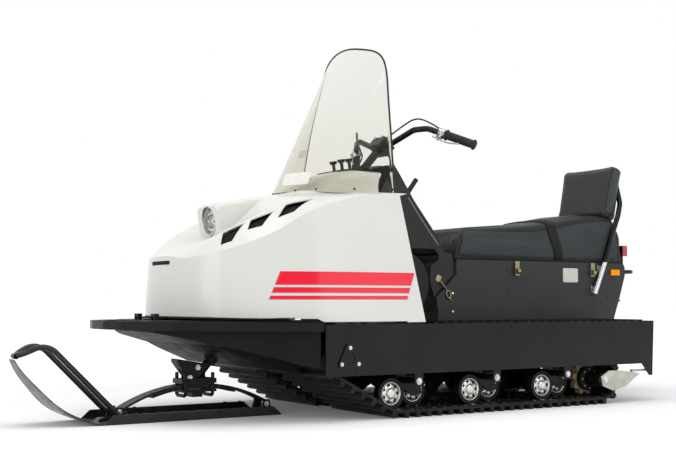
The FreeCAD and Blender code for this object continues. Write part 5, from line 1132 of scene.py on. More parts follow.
@dataclass
class Cushion:
    """A stuffed piece blown up from its CAD solid, with a sewn side panel.

    The growth says how far the skin's ends, sides, foot and crown start outside the solid.
    """

    name: str
    node: str
    finish: Finish
    slot: str
    seam: np.ndarray
    side_y: float
    voxel: float = 0.0072
    growth: tuple[float, float, float, float] = (-0.005, -0.005, 0.0, -0.005)
    cap: float = 0.006
    pressure: float = 3.0
    held_below: float = 0.012
    fill: float = 0.75
    frames: int = 20
    seam_pull: float = 0.0022
    seam_width: float = 0.006
    seam_steps: int = 14
    side_fade: float = 0.01
    side_edge: float = 0.05
    side_beyond: float = 0.4
    piping_radius: float = 0.0019
    piping_lift: float = 0.0004

    def solid(self) -> bpy.types.Object:
        """The CAD solid as one even skin, its sides, foot and crown moved by the growth.

        Returns:
            The skin, remeshed in even voxels.
        """
        mesh = NODES[self.node].data.copy()
        shape = bmesh.new()
        shape.from_mesh(mesh)
        bmesh.ops.remove_doubles(shape, verts=shape.verts, dist=1e-5)
        shape.to_mesh(mesh)
        shape.free()
        points = points_of(mesh)
        low, high = points.min(0), points.max(0)
        along, across, down, rise = self.growth
        new_low = low - (along, across, down)
        new_high = high + (along, across, rise)
        points = new_low + (points - low) / (high - low) * (new_high - new_low)
        mesh.vertices.foreach_set("co", points.astype(np.float32).ravel())
        made = linked(self.name, mesh)
        remesh = made.modifiers.new("skin", "REMESH")
        remesh.mode = "VOXEL"
        remesh.voxel_size = self.voxel
        graph = bpy.context.evaluated_depsgraph_get()
        made.data = bpy.data.meshes.new_from_object(made.evaluated_get(graph))
        made.modifiers.clear()
        return made

    def blown(self, made: bpy.types.Object) -> None:
        """Fills the skin by a short cloth run whose movement is capped, its foot held still.

        Args:
            made: the skin.
        """
        mesh = made.data
        rest = points_of(mesh)
        held = made.vertex_groups.new(name="held")
        foot = np.flatnonzero(rest[:, 2] < rest[:, 2].min() + self.held_below)
        held.add(foot.tolist(), 1.0, "REPLACE")
        cloth = made.modifiers.new("fill", "CLOTH")
        cloth.settings.use_pressure = True
        cloth.settings.uniform_pressure_force = self.pressure
        cloth.settings.effector_weights.gravity = 0.0
        cloth.settings.vertex_group_mass = "held"
        cloth.point_cache.frame_start = 1
        cloth.point_cache.frame_end = self.frames
        scene = bpy.context.scene
        for number in range(1, self.frames + 1):
            scene.frame_set(number)
        graph = bpy.context.evaluated_depsgraph_get()
        move = points_of(made.evaluated_get(graph).to_mesh()) - rest
        length = np.linalg.norm(move, axis=1, keepdims=True)
        move *= np.minimum(1.0, self.cap / np.maximum(length, 1e-9))
        made.modifiers.clear()
        mesh.vertices.foreach_set("co", (rest + move).ravel())
        scene.frame_set(1)

    def sewn(self, made: bpy.types.Object) -> None:
        """Pulls the skin in along the seam and marks the panel inside it.

        The pull falls off as exp(-(d / width)^2) with the distance d to the seam.

        Args:
            made: the skin.
        """
        mesh = made.data
        points = points_of(mesh)
        distance = polygon_distance(points[:, (0, 2)], self.seam)
        side = np.clip((np.abs(points[:, 1]) - self.side_y) / self.side_fade, 0, 1)
        pull = self.seam_pull * np.exp(-((distance / self.seam_width) ** 2)) * side
        points[:, 1] -= np.sign(points[:, 1]) * pull
        mesh.vertices.foreach_set("co", points.ravel())
        panel = mesh.attributes.new("panel", "FLOAT", "POINT")
        inside = np.where(side > self.side_edge, distance, -self.side_edge)
        panel.data.foreach_set("value", inside.astype(np.float32))

    def piping(self, made: bpy.types.Object) -> None:
        """A cord along the seam on both sides, laid on the skin.

        Args:
            made: the skin.
        """
        tree = tree_of(made)
        ends = np.vstack((self.seam, self.seam[:1]))
        pairs = zip(ends, ends[1:])
        path = np.vstack([np.linspace(a, b, self.seam_steps, endpoint=False) for a, b in pairs])
        smooth = sum(np.roll(path, shift, axis=0) for shift in range(-3, 4)) / 7
        forms = []
        for side in (1, -1):
            starts = [Vector((x, side * self.side_beyond, z)) for x, z in smooth.tolist()]
            hits = [tree.ray_cast(start, Vector((0, -side, 0))) for start in starts]
            line = np.array([tuple(hit[0]) for hit in hits if hit[0] is not None])
            lifted = line + (0.0, side * self.piping_lift, 0.0)
            forms.append(tube(lifted, self.piping_radius, 8, closed=True))
        Maker.piece(f"{self.name}_piping", joined(forms), PIPING, "chassis", self.slot, SOFT_CREASE)

    def build(self) -> bpy.types.Object:
        """The finished cushion with its piping.

        Returns:
            The cushion.
        """
        made = self.solid()
        self.blown(made)
        self.sewn(made)
        made.data.materials.clear()
        made.data.materials.append(self.finish.material())
        made.data.shade_smooth()
        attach(made, "chassis")
        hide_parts(self.node)
        self.piping(made)
        finer = made.modifiers.new("finer", "SUBSURF")
        finer.levels = finer.render_levels = 1
        LOG.info("%s: %d faces before subdivision", self.name, len(made.data.polygons))
        return made


@dataclass
class Bench:
    """The seat, its strap and the padded backrest with their fittings."""

    seat_seam: Outline = (
        (-0.286, 0.556), (-0.303, 0.610), (-0.313, 0.648), (-0.340, 0.661), (-0.45, 0.661), (-0.572, 0.662),
        (-0.70, 0.669), (-0.794, 0.682), (-0.898, 0.705), (-0.98, 0.716), (-1.063, 0.722), (-1.112, 0.722),
        (-1.128, 0.700), (-1.137, 0.640), (-1.140, 0.556),
    )
    rest_seam: Outline = (
        (-1.098, 0.764), (-1.139, 0.942), (-1.149, 0.948), (-1.180, 0.941), (-1.186, 0.934),
        (-1.150, 0.756), (-1.142, 0.750), (-1.104, 0.757),
    )
    seat_side: float = 0.12
    rest_side: float = 0.118
    rest_growth: tuple[float, float, float, float] = (0.003, 0.018, 0.024, 0.010)
    strap_x: Pair = (-0.793, -0.746)
    strap_slant: float = 0.034
    slant_from: float = 0.9
    strap_middle: float = 0.552
    strap_thick: float = 0.002
    strap_lift: float = 0.0012
    strap_end: float = 0.02
    strap_grid: tuple[int, int] = (5, 90)

    def strap(self, seat: bpy.types.Object) -> None:
        """The webbing strap: a band laid over the seat, its path cast on the seat from all round.

        Args:
            seat: the cushion that it lies on.
        """
        tree = tree_of(seat)
        quarter = math.pi / 2
        columns, steps = self.strap_grid
        angle = np.linspace(-quarter + self.strap_end, quarter - self.strap_end, steps)
        rows = []
        for x in np.linspace(*self.strap_x, columns).tolist():
            row = []
            for turn in angle.tolist():
                outward = Vector((0.0, math.sin(turn), math.cos(turn)))
                share = max(0.0, (abs(turn) - self.slant_from) / (quarter - self.slant_from))
                middle = Vector((x - self.strap_slant * share, 0.0, self.strap_middle))
                hit = tree.ray_cast(middle + outward * 0.5, -outward)[0]
                row.append(tuple(hit + outward * self.strap_lift))
            rows.append(row)
        sheet = grid(np.array(rows))
        made = Maker.piece("seat_strap_webbing", sheet, WEBBING, "chassis", "webbing", SOFT_CREASE)
        thick = made.modifiers.new("thickness", "SOLIDIFY")
        thick.thickness = self.strap_thick
        thick.offset = 1.0
        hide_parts("seat_strap")

    def build(self) -> None:
        """The bench's soft pieces and their strap."""
        seam = np.array(self.seat_seam)
        seat = Cushion("seat_cushion", "seat", SEAT_VINYL, "seat_vinyl", seam, self.seat_side).build()
        self.strap(seat)
        seam = np.array(self.rest_seam)
        Cushion(
            "backrest_cushion", "backrest_pad", REST_VINYL, "seat_vinyl", seam, self.rest_side,
            voxel=0.005, growth=self.rest_growth, cap=0.0045, held_below=-1.0,
        ).build()


@dataclass
class RunningGear:
    """Wheel rims, hub discs, track clips and the bolts of the undercarriage.

    The rim's lift is the height of the pressed metal over each radius, and places in the XZ plane are
    on the machine's left side.
    """

    wheel_z: float = 0.078
    wheels_x: Pair = (0.184, 0.043)
    offsets: Pair = (0.124, 0.055)
    bogies: int = 3
    step: float = 0.341
    track_y: float = 0.245
    half_width: float = 0.0118
    slots: int = 7
    slot_radius: float = 0.0275
    slot_reach: float = 0.0042
    slot_depth: float = 0.0028
    slot_gain: float = 2.2
    slot_from: float = 0.3
    rim_radius: tuple[float, ...] = (
        0.0398, 0.0395, 0.0380, 0.0362, 0.0345, 0.0325, 0.0300, 0.0272, 0.0245,
        0.0225, 0.0205, 0.0188, 0.0175, 0.0165, 0.012, 0.006, 0.0,
    )
    rim_lift: tuple[float, ...] = (
        -0.004, 0.0012, 0.0022, 0.0014, -0.0022, -0.0042, -0.0036, -0.0026, -0.0022,
        -0.0024, -0.0030, -0.0018, 0.0022, 0.0046, 0.0058, 0.0062, 0.0064,
    )
    rear_axle: Pair = (-0.767, 0.0908)
    drive_axle: Pair = (0.395, 0.206)
    loop_radius: float = 0.0645
    wheel_radius: float = 0.052
    path_points: tuple[int, int] = (200, 60)
    look_ahead: float = 0.002
    disc: Outline = (
        (0, 0), (0.0448, 0), (0.0452, 0.001), (0.0452, 0.0215), (0.043, 0.024), (0.030, 0.0255),
        (0.029, 0.0235), (0.019, 0.0235), (0.0175, 0.029), (0.0155, 0.0305), (0, 0.0305),
    )
    disc_y: float = 0.3345
    disc_bolts: tuple[int, float, float] = (8, 0.0365, 0.3592)
    sleeve: Outline = (
        (0.0158, 0), (0.0235, 0), (0.0245, 0.002), (0.0245, 0.0965), (0.023, 0.0985), (0.0158, 0.0985),
        (0.0158, 0),
    )
    shoes: int = 60
    clip_form: tuple[float, ...] = (0.026, 0.013, 0.0022, 0.2, 0.0012)
    clip_offsets: tuple[float, ...] = (-0.076, 0.076, 0.166)
    disc_head: Pair = (0.0036, 0.003)
    flange_head: Pair = (0.0048, 0.0045)
    pin_head: Pair = (0.0085, 0.0065)
    axle_head: Pair = (0.0105, 0.006)
    skirt_head: Pair = (0.0048, 0.0026)
    flange_bolts: tuple[Place, ...] = (
        (0.395, 0.455, 0.2385), (0.4275, 0.455, 0.186), (0.3625, 0.455, 0.186),
    )
    first_pin: Place = (0.1135, 0.4455, 0.120)
    plate_y: float = 0.4408
    skirt_y: float = 0.449
    skirt_places: Outline = (
        (0.452, 0.293), (0.389, 0.273), (0.40, 0.157), (0.37, 0.157), (-0.30, 0.300), (-0.98, 0.298),
    )

    def rim(self) -> tuple[Form, np.ndarray]:
        """One pressed rim: height over radius and angle.

        A rolled lip falls to a dished web, the web rises to a hub cap, and seven slots are pressed where
        the cosine of seven times the angle is high and the radius is in the web's middle.

        Returns:
            The surface and the share of a slot at each point.
        """
        radius, lift = np.array(self.rim_radius), np.array(self.rim_lift)
        angle = round_turn(self.slots * 8)[:, None]
        band = np.exp(-(((radius - self.slot_radius) / self.slot_reach) ** 4))
        slot = band[None] * np.clip(np.cos(self.slots * angle) * self.slot_gain - self.slot_from, 0, 1)
        height = lift[None] - self.slot_depth * slot
        points = np.stack((radius * np.cos(angle), radius * np.sin(angle), height), axis=-1)
        return grid(points, round_u=True), slot.ravel()

    def rims(self) -> None:
        """A rim in both faces of all 24 wheels."""
        form, slot = self.rim()
        spots, axes = [], []
        for number in range(self.bogies):
            for x, offset in zip(self.wheels_x, self.offsets):
                for track in (self.track_y, -self.track_y):
                    for side in (offset, -offset):
                        for face in (1, -1):
                            y = track + side + face * self.half_width
                            spots.append((x - self.step * number, y, self.wheel_z))
                            axes.append((0.0, face, 0.0))
        whole = placed(form, spots, axes)
        mesh = whole.mesh("wheel_rims")
        marks = mesh.attributes.new("slot", "FLOAT", "POINT")
        marks.data.foreach_set("value", np.tile(slot, len(spots)).astype(np.float32))
        Maker.cleaned(mesh, 1e-7)
        made = linked("wheel_rims", mesh)
        mesh.materials.append(RIM.material())
        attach(made, "chassis")
        LOG.info("wheel_rims: %d faces on chassis", len(mesh.polygons))

    def hub_discs(self) -> None:
        """Black bolted discs on the outer sprocket hubs, with a ring of bolts on the visible ones."""
        count, ring, face = self.disc_bolts
        spots, bolts = [], []
        for x, z in (self.rear_axle, self.drive_axle):
            spots.append((x, self.disc_y, z))
            for angle in round_turn(count).tolist():
                bolts.append((x + ring * math.cos(angle), face, z + ring * math.sin(angle)))
        discs = on_side(revolved(self.disc, 40), spots)
        Maker.both("sprocket_hub_discs", discs, BLACK_PLASTIC, "chassis", "black_plastic")
        sleeve = on_side(revolved(self.sleeve, 32), spots[:1])
        Maker.both("axle_sleeves", sleeve, SATIN_BLACK, "chassis", "black_metal")
        heads = on_side(pan_head(*self.disc_head), bolts)
        Maker.both("hub_disc_bolts", heads, BOLT, "chassis", "galvanised")

    def loop(self, count: int) -> tuple[np.ndarray, np.ndarray]:
        """Even places on the belt's inner face, with the directions into the loop.

        The path is the taut line round three circles: between two circles it is their outer tangent,
        whose normal makes an angle acos((r1 - r2) / d) with the line of centres.

        Args:
            count: how many places.

        Returns:
            Places and inward directions in the XZ plane.
        """
        circles = [(*axle, self.loop_radius) for axle in (self.drive_axle, self.rear_axle)]
        circles = np.array(circles + [(self.wheels_x[0], self.wheel_z, self.wheel_radius)])
        following = np.roll(circles, -1, axis=0)
        run = following[:, :2] - circles[:, :2]
        length = np.linalg.norm(run, axis=1)
        normal = np.arctan2(run[:, 1], run[:, 0]) - np.arccos((circles[:, 2] - following[:, 2]) / length)
        out = np.stack((np.cos(normal), np.sin(normal)), axis=1)
        leave, reach = circles[:, :2] + out * circles[:, 2:], following[:, :2] + out * following[:, 2:]
        pieces = []
        for number in range(len(circles)):
            share = np.linspace(0, 1, self.path_points[0])[:, None]
            pieces.append(leave[number] * (1 - share) + reach[number] * share)
            following_normal = normal[(number + 1) % len(circles)]
            sweep = (following_normal - normal[number] + math.pi) % (2 * math.pi) - math.pi
            turn = normal[number] + np.linspace(0, 1, self.path_points[1])[:, None] * sweep
            round_end = np.hstack((np.cos(turn), np.sin(turn)))
            pieces.append(following[number, :2] + following[number, 2] * round_end)
        path = np.vstack(pieces)
        wanted = np.linspace(0, walked(path)[-1], count, endpoint=False)
        places = sampled(path, wanted)
        ahead = sampled(path, wanted + self.look_ahead) - places
        ahead /= np.linalg.norm(ahead, axis=1, keepdims=True)
        inward = np.stack((-ahead[:, 1], ahead[:, 0]), axis=1)
        flip = np.sign(((path.mean(0) - places) * inward).sum(1, keepdims=True))
        return places, inward * flip

    def clips(self) -> None:
        """Bright steel clips where the teeth enter the belts, three a shoe."""
        places, inward = self.loop(self.shoes)
        clip = slab(*self.clip_form)
        spots, axes = [], []
        for (x, z), (nx, nz) in zip(places.tolist(), inward.tolist()):
            for offset in self.clip_offsets:
                spots.append((x, self.track_y + offset, z))
                axes.append((nx, 0.0, nz))
        Maker.both("track_clips", placed(clip, spots, axes), ALLOY, "chassis", "galvanised")

    def bolts(self) -> None:
        """Bolt heads on the bearing flanges, pin hangers, tension plates and skirts."""
        small = on_side(hex_head(*self.flange_head), list(self.flange_bolts))
        Maker.both("bearing_bolts", small, BOLT, "chassis", "galvanised")
        x, y, z = self.first_pin
        pins = [(x - self.step * number, y, z) for number in range(self.bogies)]
        big = on_side(hex_head(*self.pin_head), pins)
        x, z = self.rear_axle
        ends = on_side(hex_head(*self.axle_head), [(x, self.plate_y, z)])
        Maker.both("pin_bolts", joined([big, ends]), BOLT, "chassis", "galvanised")
        spots = [(x, self.skirt_y, z) for x, z in self.skirt_places]
        screws = on_side(pan_head(*self.skirt_head), spots)
        Maker.both("skirt_screws", screws, SATIN_BLACK, "chassis", "gloss_black")

    def build(self) -> None:
        """All of the undercarriage's fittings."""
        self.rims()
        self.hub_discs()
        self.clips()
        self.bolts()


@dataclass
class HoodFittings:
    """What sits on the hood: the windshield and its trim, black sheets of painted shade in the vents and the
    nose intake, and the lamp.

    The windshield's lead and bend are given at its foot and at the CAD's full height. The intake has a
    reach, a half height and a level; the foot line a middle, a level, a sweep and a radius.
    """

    lamp: Place = (0.664, 0.0, 0.663)
    bowl_radius: float = 0.0425
    bowl_depth: Pair = (0.046, 0.040)
    bowl_shell: Pair = (0.0006, 0.0012)
    bulb_cap: Outline = ((0.0, -0.042), (0.0075, -0.042), (0.0075, -0.034), (0.006, -0.032))
    bulb_tip: Place = (0.006, -0.020, 0.008)
    plate_spot: Place = (0.372, 0.070, 0.822)
    plate_form: tuple[float, ...] = (0.118, 0.050, 0.0012, 0.12)
    screw_head: Pair = (0.0040, 0.0024)
    foot: float = 0.757
    top: float = 1.327
    full_height: float = 1.335
    lead: Pair = (0.412, 0.1186)
    bend: Pair = (2.74, 1.51)
    sheet_rows: int = 91
    sheet_columns: int = 57
    sheet_thick: float = 0.003
    bead_radius: float = 0.0034
    bead_step: float = 0.002
    bead_points: int = 300
    foot_least: float = 0.74
    foot_gap: float = 0.0008
    foot_fade: int = 6
    screw_places: tuple[Place, ...] = (
        (0.39, 0.085, 0.782), (0.345, 0.155, 0.782), (0.24, 0.245, 0.778), (0.13, 0.318, 0.775),
    )
    vents_x: Pair = (0.405, 0.745)
    vents_y: Pair = (0.212, 0.350)
    vents_narrow: Pair = (0.02, 0.17)
    vents_deep: float = 0.015
    vents_from: float = 0.42
    vents_edge: float = 0.085
    vents_grid: tuple[int, int] = (26, 30)
    beyond: float = 1.2
    intake: Place = (0.072, 0.0062, 0.515)
    intake_end: float = 0.0002
    intake_proud: float = 0.0010
    intake_grid: tuple[int, int] = (9, 61)
    foot_line: tuple[float, float, float, float] = (0.45, 0.352, 1.28, 0.005)
    foot_under: float = 0.30
    foot_sunk: float = 0.4
    foot_rays: int = 181
    foot_points: int = 240
    edge: Outline = (
        (0.3240, 0.757), (0.3073, 0.863), (0.2873, 0.971), (0.2679, 1.056), (0.2486, 1.132), (0.2333, 1.186),
        (0.2150, 1.233), (0.1970, 1.262), (0.1700, 1.284), (0.1245, 1.2965), (0.0506, 1.3120), (0.0, 1.3155),
    )

    def outline(self) -> np.ndarray:
        """The screen's half outline, from its foot to its top, with the corners rounded by smoothing.

        Returns:
            Pairs of half width and height.
        """
        half = np.array(self.edge)
        rise = half[:, 1] - self.foot
        half[:, 1] = self.foot + rise * (self.top - self.foot) / rise[-1]
        whole = np.vstack((half, half[-2::-1] * (-1, 1)))
        return eased(whole, 2 * self.sheet_rows - 1, 5)[:self.sheet_rows]

    def front(self, across: np.ndarray, height: np.ndarray) -> np.ndarray:
        """How far forward the screen stands: f(s) - b(s) y^2, with f and b straight lines in height.

        Args:
            across: the places' Y.
            height: the places' Z.

        Returns:
            Their X.
        """
        share = (height - self.foot) / (self.full_height - self.foot)
        lead = self.lead[0] + (self.lead[1] - self.lead[0]) * share
        bend = self.bend[0] + (self.bend[1] - self.bend[0]) * share
        return lead - bend * across**2

    def screen_points(self) -> np.ndarray:
        """The screen's middle surface: each row runs across at one height, the lowest follows the hood.

        Returns:
            A table of points, the foot in its first row.
        """
        half = self.outline()
        across = np.linspace(-1, 1, self.sheet_columns)[None, :] * half[:, :1]
        height = np.repeat(half[:, 1:], self.sheet_columns, axis=1)
        tree = tree_of(NODES["hood"])
        foot = []
        for y in across[0].tolist():
            x = float(self.front(np.array(y), np.array(self.foot)))
            hit = tree.ray_cast(Vector((x, y, 1.0)), Vector((0, 0, -1)))[0]
            foot.append(hit.z if hit is not None and hit.z > self.foot_least else self.foot)
        share = (height - self.foot) / (self.top - self.foot)
        lift = np.array(foot)[None, :] + self.foot_gap - self.foot
        height = height + lift * (1 - share) ** self.foot_fade
        return np.stack((self.front(across, height), across, height), axis=-1)

    def screen_sheet(self) -> bpy.types.Object:
        """The curved screen with its bead.

        Returns:
            The sheet.
        """
        points = self.screen_points()
        made = Maker.piece("screen_sheet", grid(points), SCREEN, "hood", "smoke_screen", SOFT_CREASE)
        thick = made.modifiers.new("thickness", "SOLIDIFY")
        thick.thickness = self.sheet_thick
        thick.offset = -1.0
        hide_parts("windshield")
        edge = np.vstack((points[:, -1], points[::-1, 0]))
        keep = np.concatenate(((True,), np.linalg.norm(np.diff(edge, axis=0), axis=1) > self.bead_step))
        bead = tube(eased(edge[keep], self.bead_points, 2), self.bead_radius, 10)
        Maker.piece("screen_edge_bead", bead, GASKET, "hood", "black_plastic", SOFT_CREASE)
        return made

    def screen(self) -> None:
        """The screen with the dark bead round it, its base screws and a bare plate."""
        tree = tree_of(self.screen_sheet())
        near = list(self.screw_places) + [(x, -y, z) for x, y, z in self.screw_places]
        spots, axes = seated(tree, near)
        screws = placed(pan_head(*self.screw_head), spots, [frontward(axis) for axis in axes])
        Maker.piece("screen_screws", screws, BLACK_PLASTIC, "hood", "black_plastic")
        spot, axis = seated(tree, [self.plate_spot])
        form = slab(*self.plate_form)
        basis = turned(frontward(axis[0]))
        points = form.points @ basis + np.array(spot[0])
        plate = Form(points + basis[2] * self.sheet_thick, form.faces)
        Maker.piece("screen_bare_plate", plate, STICKER, "hood", "galvanised")

    def vent_shade_sheets(self) -> None:
        """Painted shade behind the vents: a black sheet shaped like the shoulder's own surface, bridged over
        the holes and sunk.

        On each row the hood's height is cast from above, the holes are bridged straight across, and the
        sheet hangs the vents' depth lower.
        """
        tree = tree_of(NODES["hood"])
        rows = []
        count, columns = self.vents_grid
        for x in np.linspace(*self.vents_x, count).tolist():
            back = x - self.vents_from
            inner, outer = (y - back * taper for y, taper in zip(self.vents_y, self.vents_narrow))
            across = np.linspace(inner, outer, columns)
            starts = [Vector((x, y, self.beyond)) for y in across.tolist()]
            hits = [tree.ray_cast(start, Vector((0, 0, -1)))[0] for start in starts]
            level = np.array([hit.z if hit is not None else 0.0 for hit in hits])
            good = level > level.max() - self.vents_edge
            level = np.interp(across, across[good], level[good]) - self.vents_deep
            rows.append(np.column_stack((np.full(columns, x), across, level)))
        Maker.both("vent_shade_sheet", grid(np.array(rows)), VENT_SHADE_BLACK, "hood", "black_plastic", SOFT_CREASE)

    def nose_slot(self) -> None:
        """Painted shade for the narrow intake in the nose: a black level slot with round ends, laid 1 mm
        proud of the hood.

        Its half height is constant along the middle and falls as sqrt(1 - s^2) over each round end.
        """
        tree = tree_of(NODES["hood"])
        reach, half_height, level = self.intake
        across = reach * np.sin(np.linspace(-math.pi / 2, math.pi / 2, self.intake_grid[1]))
        end = np.clip((np.abs(across) - reach + half_height) / half_height, 0, 1)
        half = self.intake_end + half_height * np.sqrt(1 - end**2)
        rows = []
        for share in np.linspace(-1, 1, self.intake_grid[0]).tolist():
            heights = (level + share * half).tolist()
            starts = [Vector((self.beyond, y, z)) for y, z in zip(across.tolist(), heights)]
            hits = [tree.ray_cast(start, Vector((-1, 0, 0))) for start in starts]
            rows.append([tuple(hit[0] + hit[1] * self.intake_proud) for hit in hits])
        Maker.piece("nose_intake_shade", grid(np.array(rows)), VENT_SHADE_BLACK, "hood", "black_plastic", SOFT_CREASE)

    def foot_trim(self) -> None:
        """The black rubber edge under the hood's foot before the deck.

        A round section is carried along the foot's outline, which is cast on the hood from all round
        just above the foot, and from below for its height.
        """
        tree = tree_of(NODES["hood"])
        middle_x, level, sweep, radius = self.foot_line
        path = []
        for angle in np.linspace(-sweep, sweep, self.foot_rays).tolist():
            outward = Vector((math.cos(angle), math.sin(angle), 0.0))
            wall = tree.ray_cast(Vector((middle_x, 0.0, level)) + outward * self.beyond, -outward)[0]
            if wall is None:
                continue
            below = wall - outward * radius * 0.5
            edge = tree.ray_cast(Vector((below.x, below.y, self.foot_under)), Vector(UPWARD))[0]
            if edge is not None and edge.z < level:
                path.append((below.x, below.y, edge.z - radius * self.foot_sunk))
        trim = tube(eased(np.array(path), self.foot_points, 2), radius, 8)
        Maker.piece("hood_foot_trim", trim, GASKET, "hood", "black_plastic", SOFT_CREASE)

    def mirror(self) -> None:
        """The lamp's reflector: a bowl whose depth grows with the square of the radius, and its bulb."""
        radius = np.linspace(0.0, self.bowl_radius, 14)
        back, rise = self.bowl_depth
        depth = -back + rise * (radius / self.bowl_radius) ** 2
        inner = np.column_stack((radius, depth))
        wider, deeper = self.bowl_shell
        outer = np.column_stack((radius[::-1] + wider, depth[::-1] - deeper))
        outer[-1, 0] = 0.0
        bowl = placed(revolved(np.vstack((inner, outer)), 48), [self.lamp], [FORWARD])
        Maker.piece("lamp_mirror", bowl, MIRROR, "hood", "clear_lens", 50.0)
        share = np.linspace(0, math.pi / 2, 6)
        wide, start, high = self.bulb_tip
        tip = np.column_stack((wide * np.cos(share), start + high * np.sin(share)))
        tip[-1, 0] = 0.0
        bulb = placed(revolved(np.vstack((self.bulb_cap, tip)), 20), [self.lamp], [FORWARD])
        Maker.piece("lamp_bulb", bulb, ALLOY, "hood", "clear_lens")

    def build(self) -> None:
        """All of the hood's fittings."""
        self.screen()
        self.vent_shade_sheets()
        self.nose_slot()
        self.foot_trim()
        self.mirror()


@dataclass
class BoxFittings:
    """Plates, screws and latch parts on the seat box and the console, and pale strips of painted highlight
    on the console's edges.
    """

    side: float = 0.165
    console_side: float = 0.160
    plate_size: Place = (0.083, 0.057, 0.0011)
    plate_corner: float = 0.08
    plate_centre: Pair = (-0.8645, 0.4925)
    rivets: Pair = (0.038, 0.025)
    rivet_head: Pair = (0.0022, 0.0012)
    bright_head: Pair = (0.005, 0.0028)
    dark_head: Pair = (0.0038, 0.0022)
    bright_places: Outline = ((-0.2555, 0.417), (-0.2555, 0.348))
    box_places: Outline = ((-0.5255, 0.510), (-0.5255, 0.42), (-0.30, 0.505), (-1.075, 0.40), (-1.145, 0.39))
    console_places: Outline = ((-0.215, 0.375), (-0.155, 0.60), (0.13, 0.60))
    keeper_place: Pair = (-0.191, 0.472)
    keeper_lean: float = 24.0
    keeper_form: tuple[float, ...] = (0.023, 0.026, 0.003, 0.2, 0.001)
    rod_radius: float = 0.0026
    rod_bow: float = 0.003
    hook_size: Place = (0.0095, 0.004, 0.014)
    hook_radius: float = 0.0030
    tail_radius: float = 0.0028
    rod_ends: tuple[Place, Place] = ((-0.197, 0.1655, 0.462), (-0.2235, 0.1685, 0.428))
    ring_centre: Pair = (-0.232, 0.413)
    hook_y: float = 0.1685
    tail: tuple[Place, ...] = ((-0.236, 0.1685, 0.400), (-0.240, 0.1680, 0.394), (-0.246, 0.1675, 0.391))
    cover_edge: Outline = (
        (-0.055, 0.771), (-0.107, 0.7035), (-0.144, 0.658), (-0.181, 0.6145), (-0.194, 0.5995),
    )
    strip_points: int = 60
    strip_section: Outline = ((0.0, 0.0), (0.0, 0.0008), (0.0045, 0.0008), (0.0045, 0.0))

    def plate(self) -> None:
        """The bare data plate with its four rivets, on the left side only."""
        form = slab(*self.plate_size, self.plate_corner)
        x, z = self.plate_centre
        form = form.upright((x, self.side, z))
        Maker.piece("bare_data_plate", form, PLATE, "chassis", "galvanised")
        out, up = self.rivets
        front = self.side + self.plate_size[2]
        spots = [(x + dx, front, z + dz) for dx in (-out, out) for dz in (-up, up)]
        heads = on_side(pan_head(*self.rivet_head), spots)
        Maker.piece("data_plate_rivets", heads, BOLT, "chassis", "galvanised")

    def screws(self) -> None:
        """Bright screws by the console and small dark ones on the box and the console."""
        spots = [(x, self.side, z) for x, z in self.bright_places]
        bright = on_side(pan_head(*self.bright_head), spots)
        Maker.both("box_screws_bright", bright, BOLT, "chassis", "galvanised")
        dark = [(x, self.side, z) for x, z in self.box_places]
        dark += [(x, self.console_side, z) for x, z in self.console_places]
        heads = on_side(pan_head(*self.dark_head), dark)
        Maker.both("box_screws_dark", heads, SATIN_BLACK, "chassis", "black_metal")

    def keeper(self) -> Form:
        """The hold-down's square plate, turned in its own plane.

        Returns:
            The plate, in place.
        """
        form = slab(*self.keeper_form)
        lean = math.radians(self.keeper_lean)
        turn = np.array(((math.cos(lean), math.sin(lean)), (-math.sin(lean), math.cos(lean))))
        flat = form.points[:, :2] @ turn
        x, z = self.keeper_place
        form = Form(np.column_stack((flat, form.points[:, 2])), form.faces)
        return form.upright((x, self.console_side, z))

    def rubber_latch(self) -> None:
        """The brass-coloured hold-down: a square keeper plate, a short rod and a hooked ring."""
        share = np.linspace(0, 1, 24)[:, None]
        start, end = np.array(self.rod_ends)
        bow = np.sin(share * math.pi) * (0.0, self.rod_bow, 0.0)
        rod = tube(start + (end - start) * share + bow, self.rod_radius, 10)
        angle = round_turn(40)
        x, z = self.ring_centre
        wide, lean, high = self.hook_size
        along = x + wide * np.cos(angle) + lean * np.sin(angle)
        level = z + high * np.sin(angle)
        ring = np.stack((along, np.full(len(angle), self.hook_y), level), axis=1)
        hook = tube(ring, self.hook_radius, 10, closed=True)
        form = joined([self.keeper(), rod, hook, tube(self.tail, self.tail_radius, 10)])
        Maker.piece("hold_down_latch", form, YELLOW_ZINC, "chassis", "yellow_zinc")

    def edge_highlight_strip(self) -> None:
        """Painted highlight: a pale strip along the folded edge that follows the console cover's long slope,
        on both sides.

        A flat strip is carried along the cover's profile and stands a little off its side.
        """
        path = eased(np.array(self.cover_edge), self.strip_points, 1)
        run = np.gradient(path, axis=0)
        run /= np.linalg.norm(run, axis=1, keepdims=True)
        inward = np.stack((run[:, 1], -run[:, 0]), axis=1)
        corners = []
        for width, out in self.strip_section:
            spot = path - inward * width
            side = np.full(self.strip_points, self.console_side + out)
            corners.append(np.column_stack((spot[:, 0], side, spot[:, 1])))
        strip = grid(np.stack(corners, axis=1), round_v=True, capped=True)
        Maker.both("console_edge_highlight", strip, EDGE_HIGHLIGHT, "chassis", "box_grey", 30.0)

    def build(self) -> None:
        """All fittings of the box and the console."""
        self.plate()
        self.screws()
        self.rubber_latch()
        self.edge_highlight_strip()


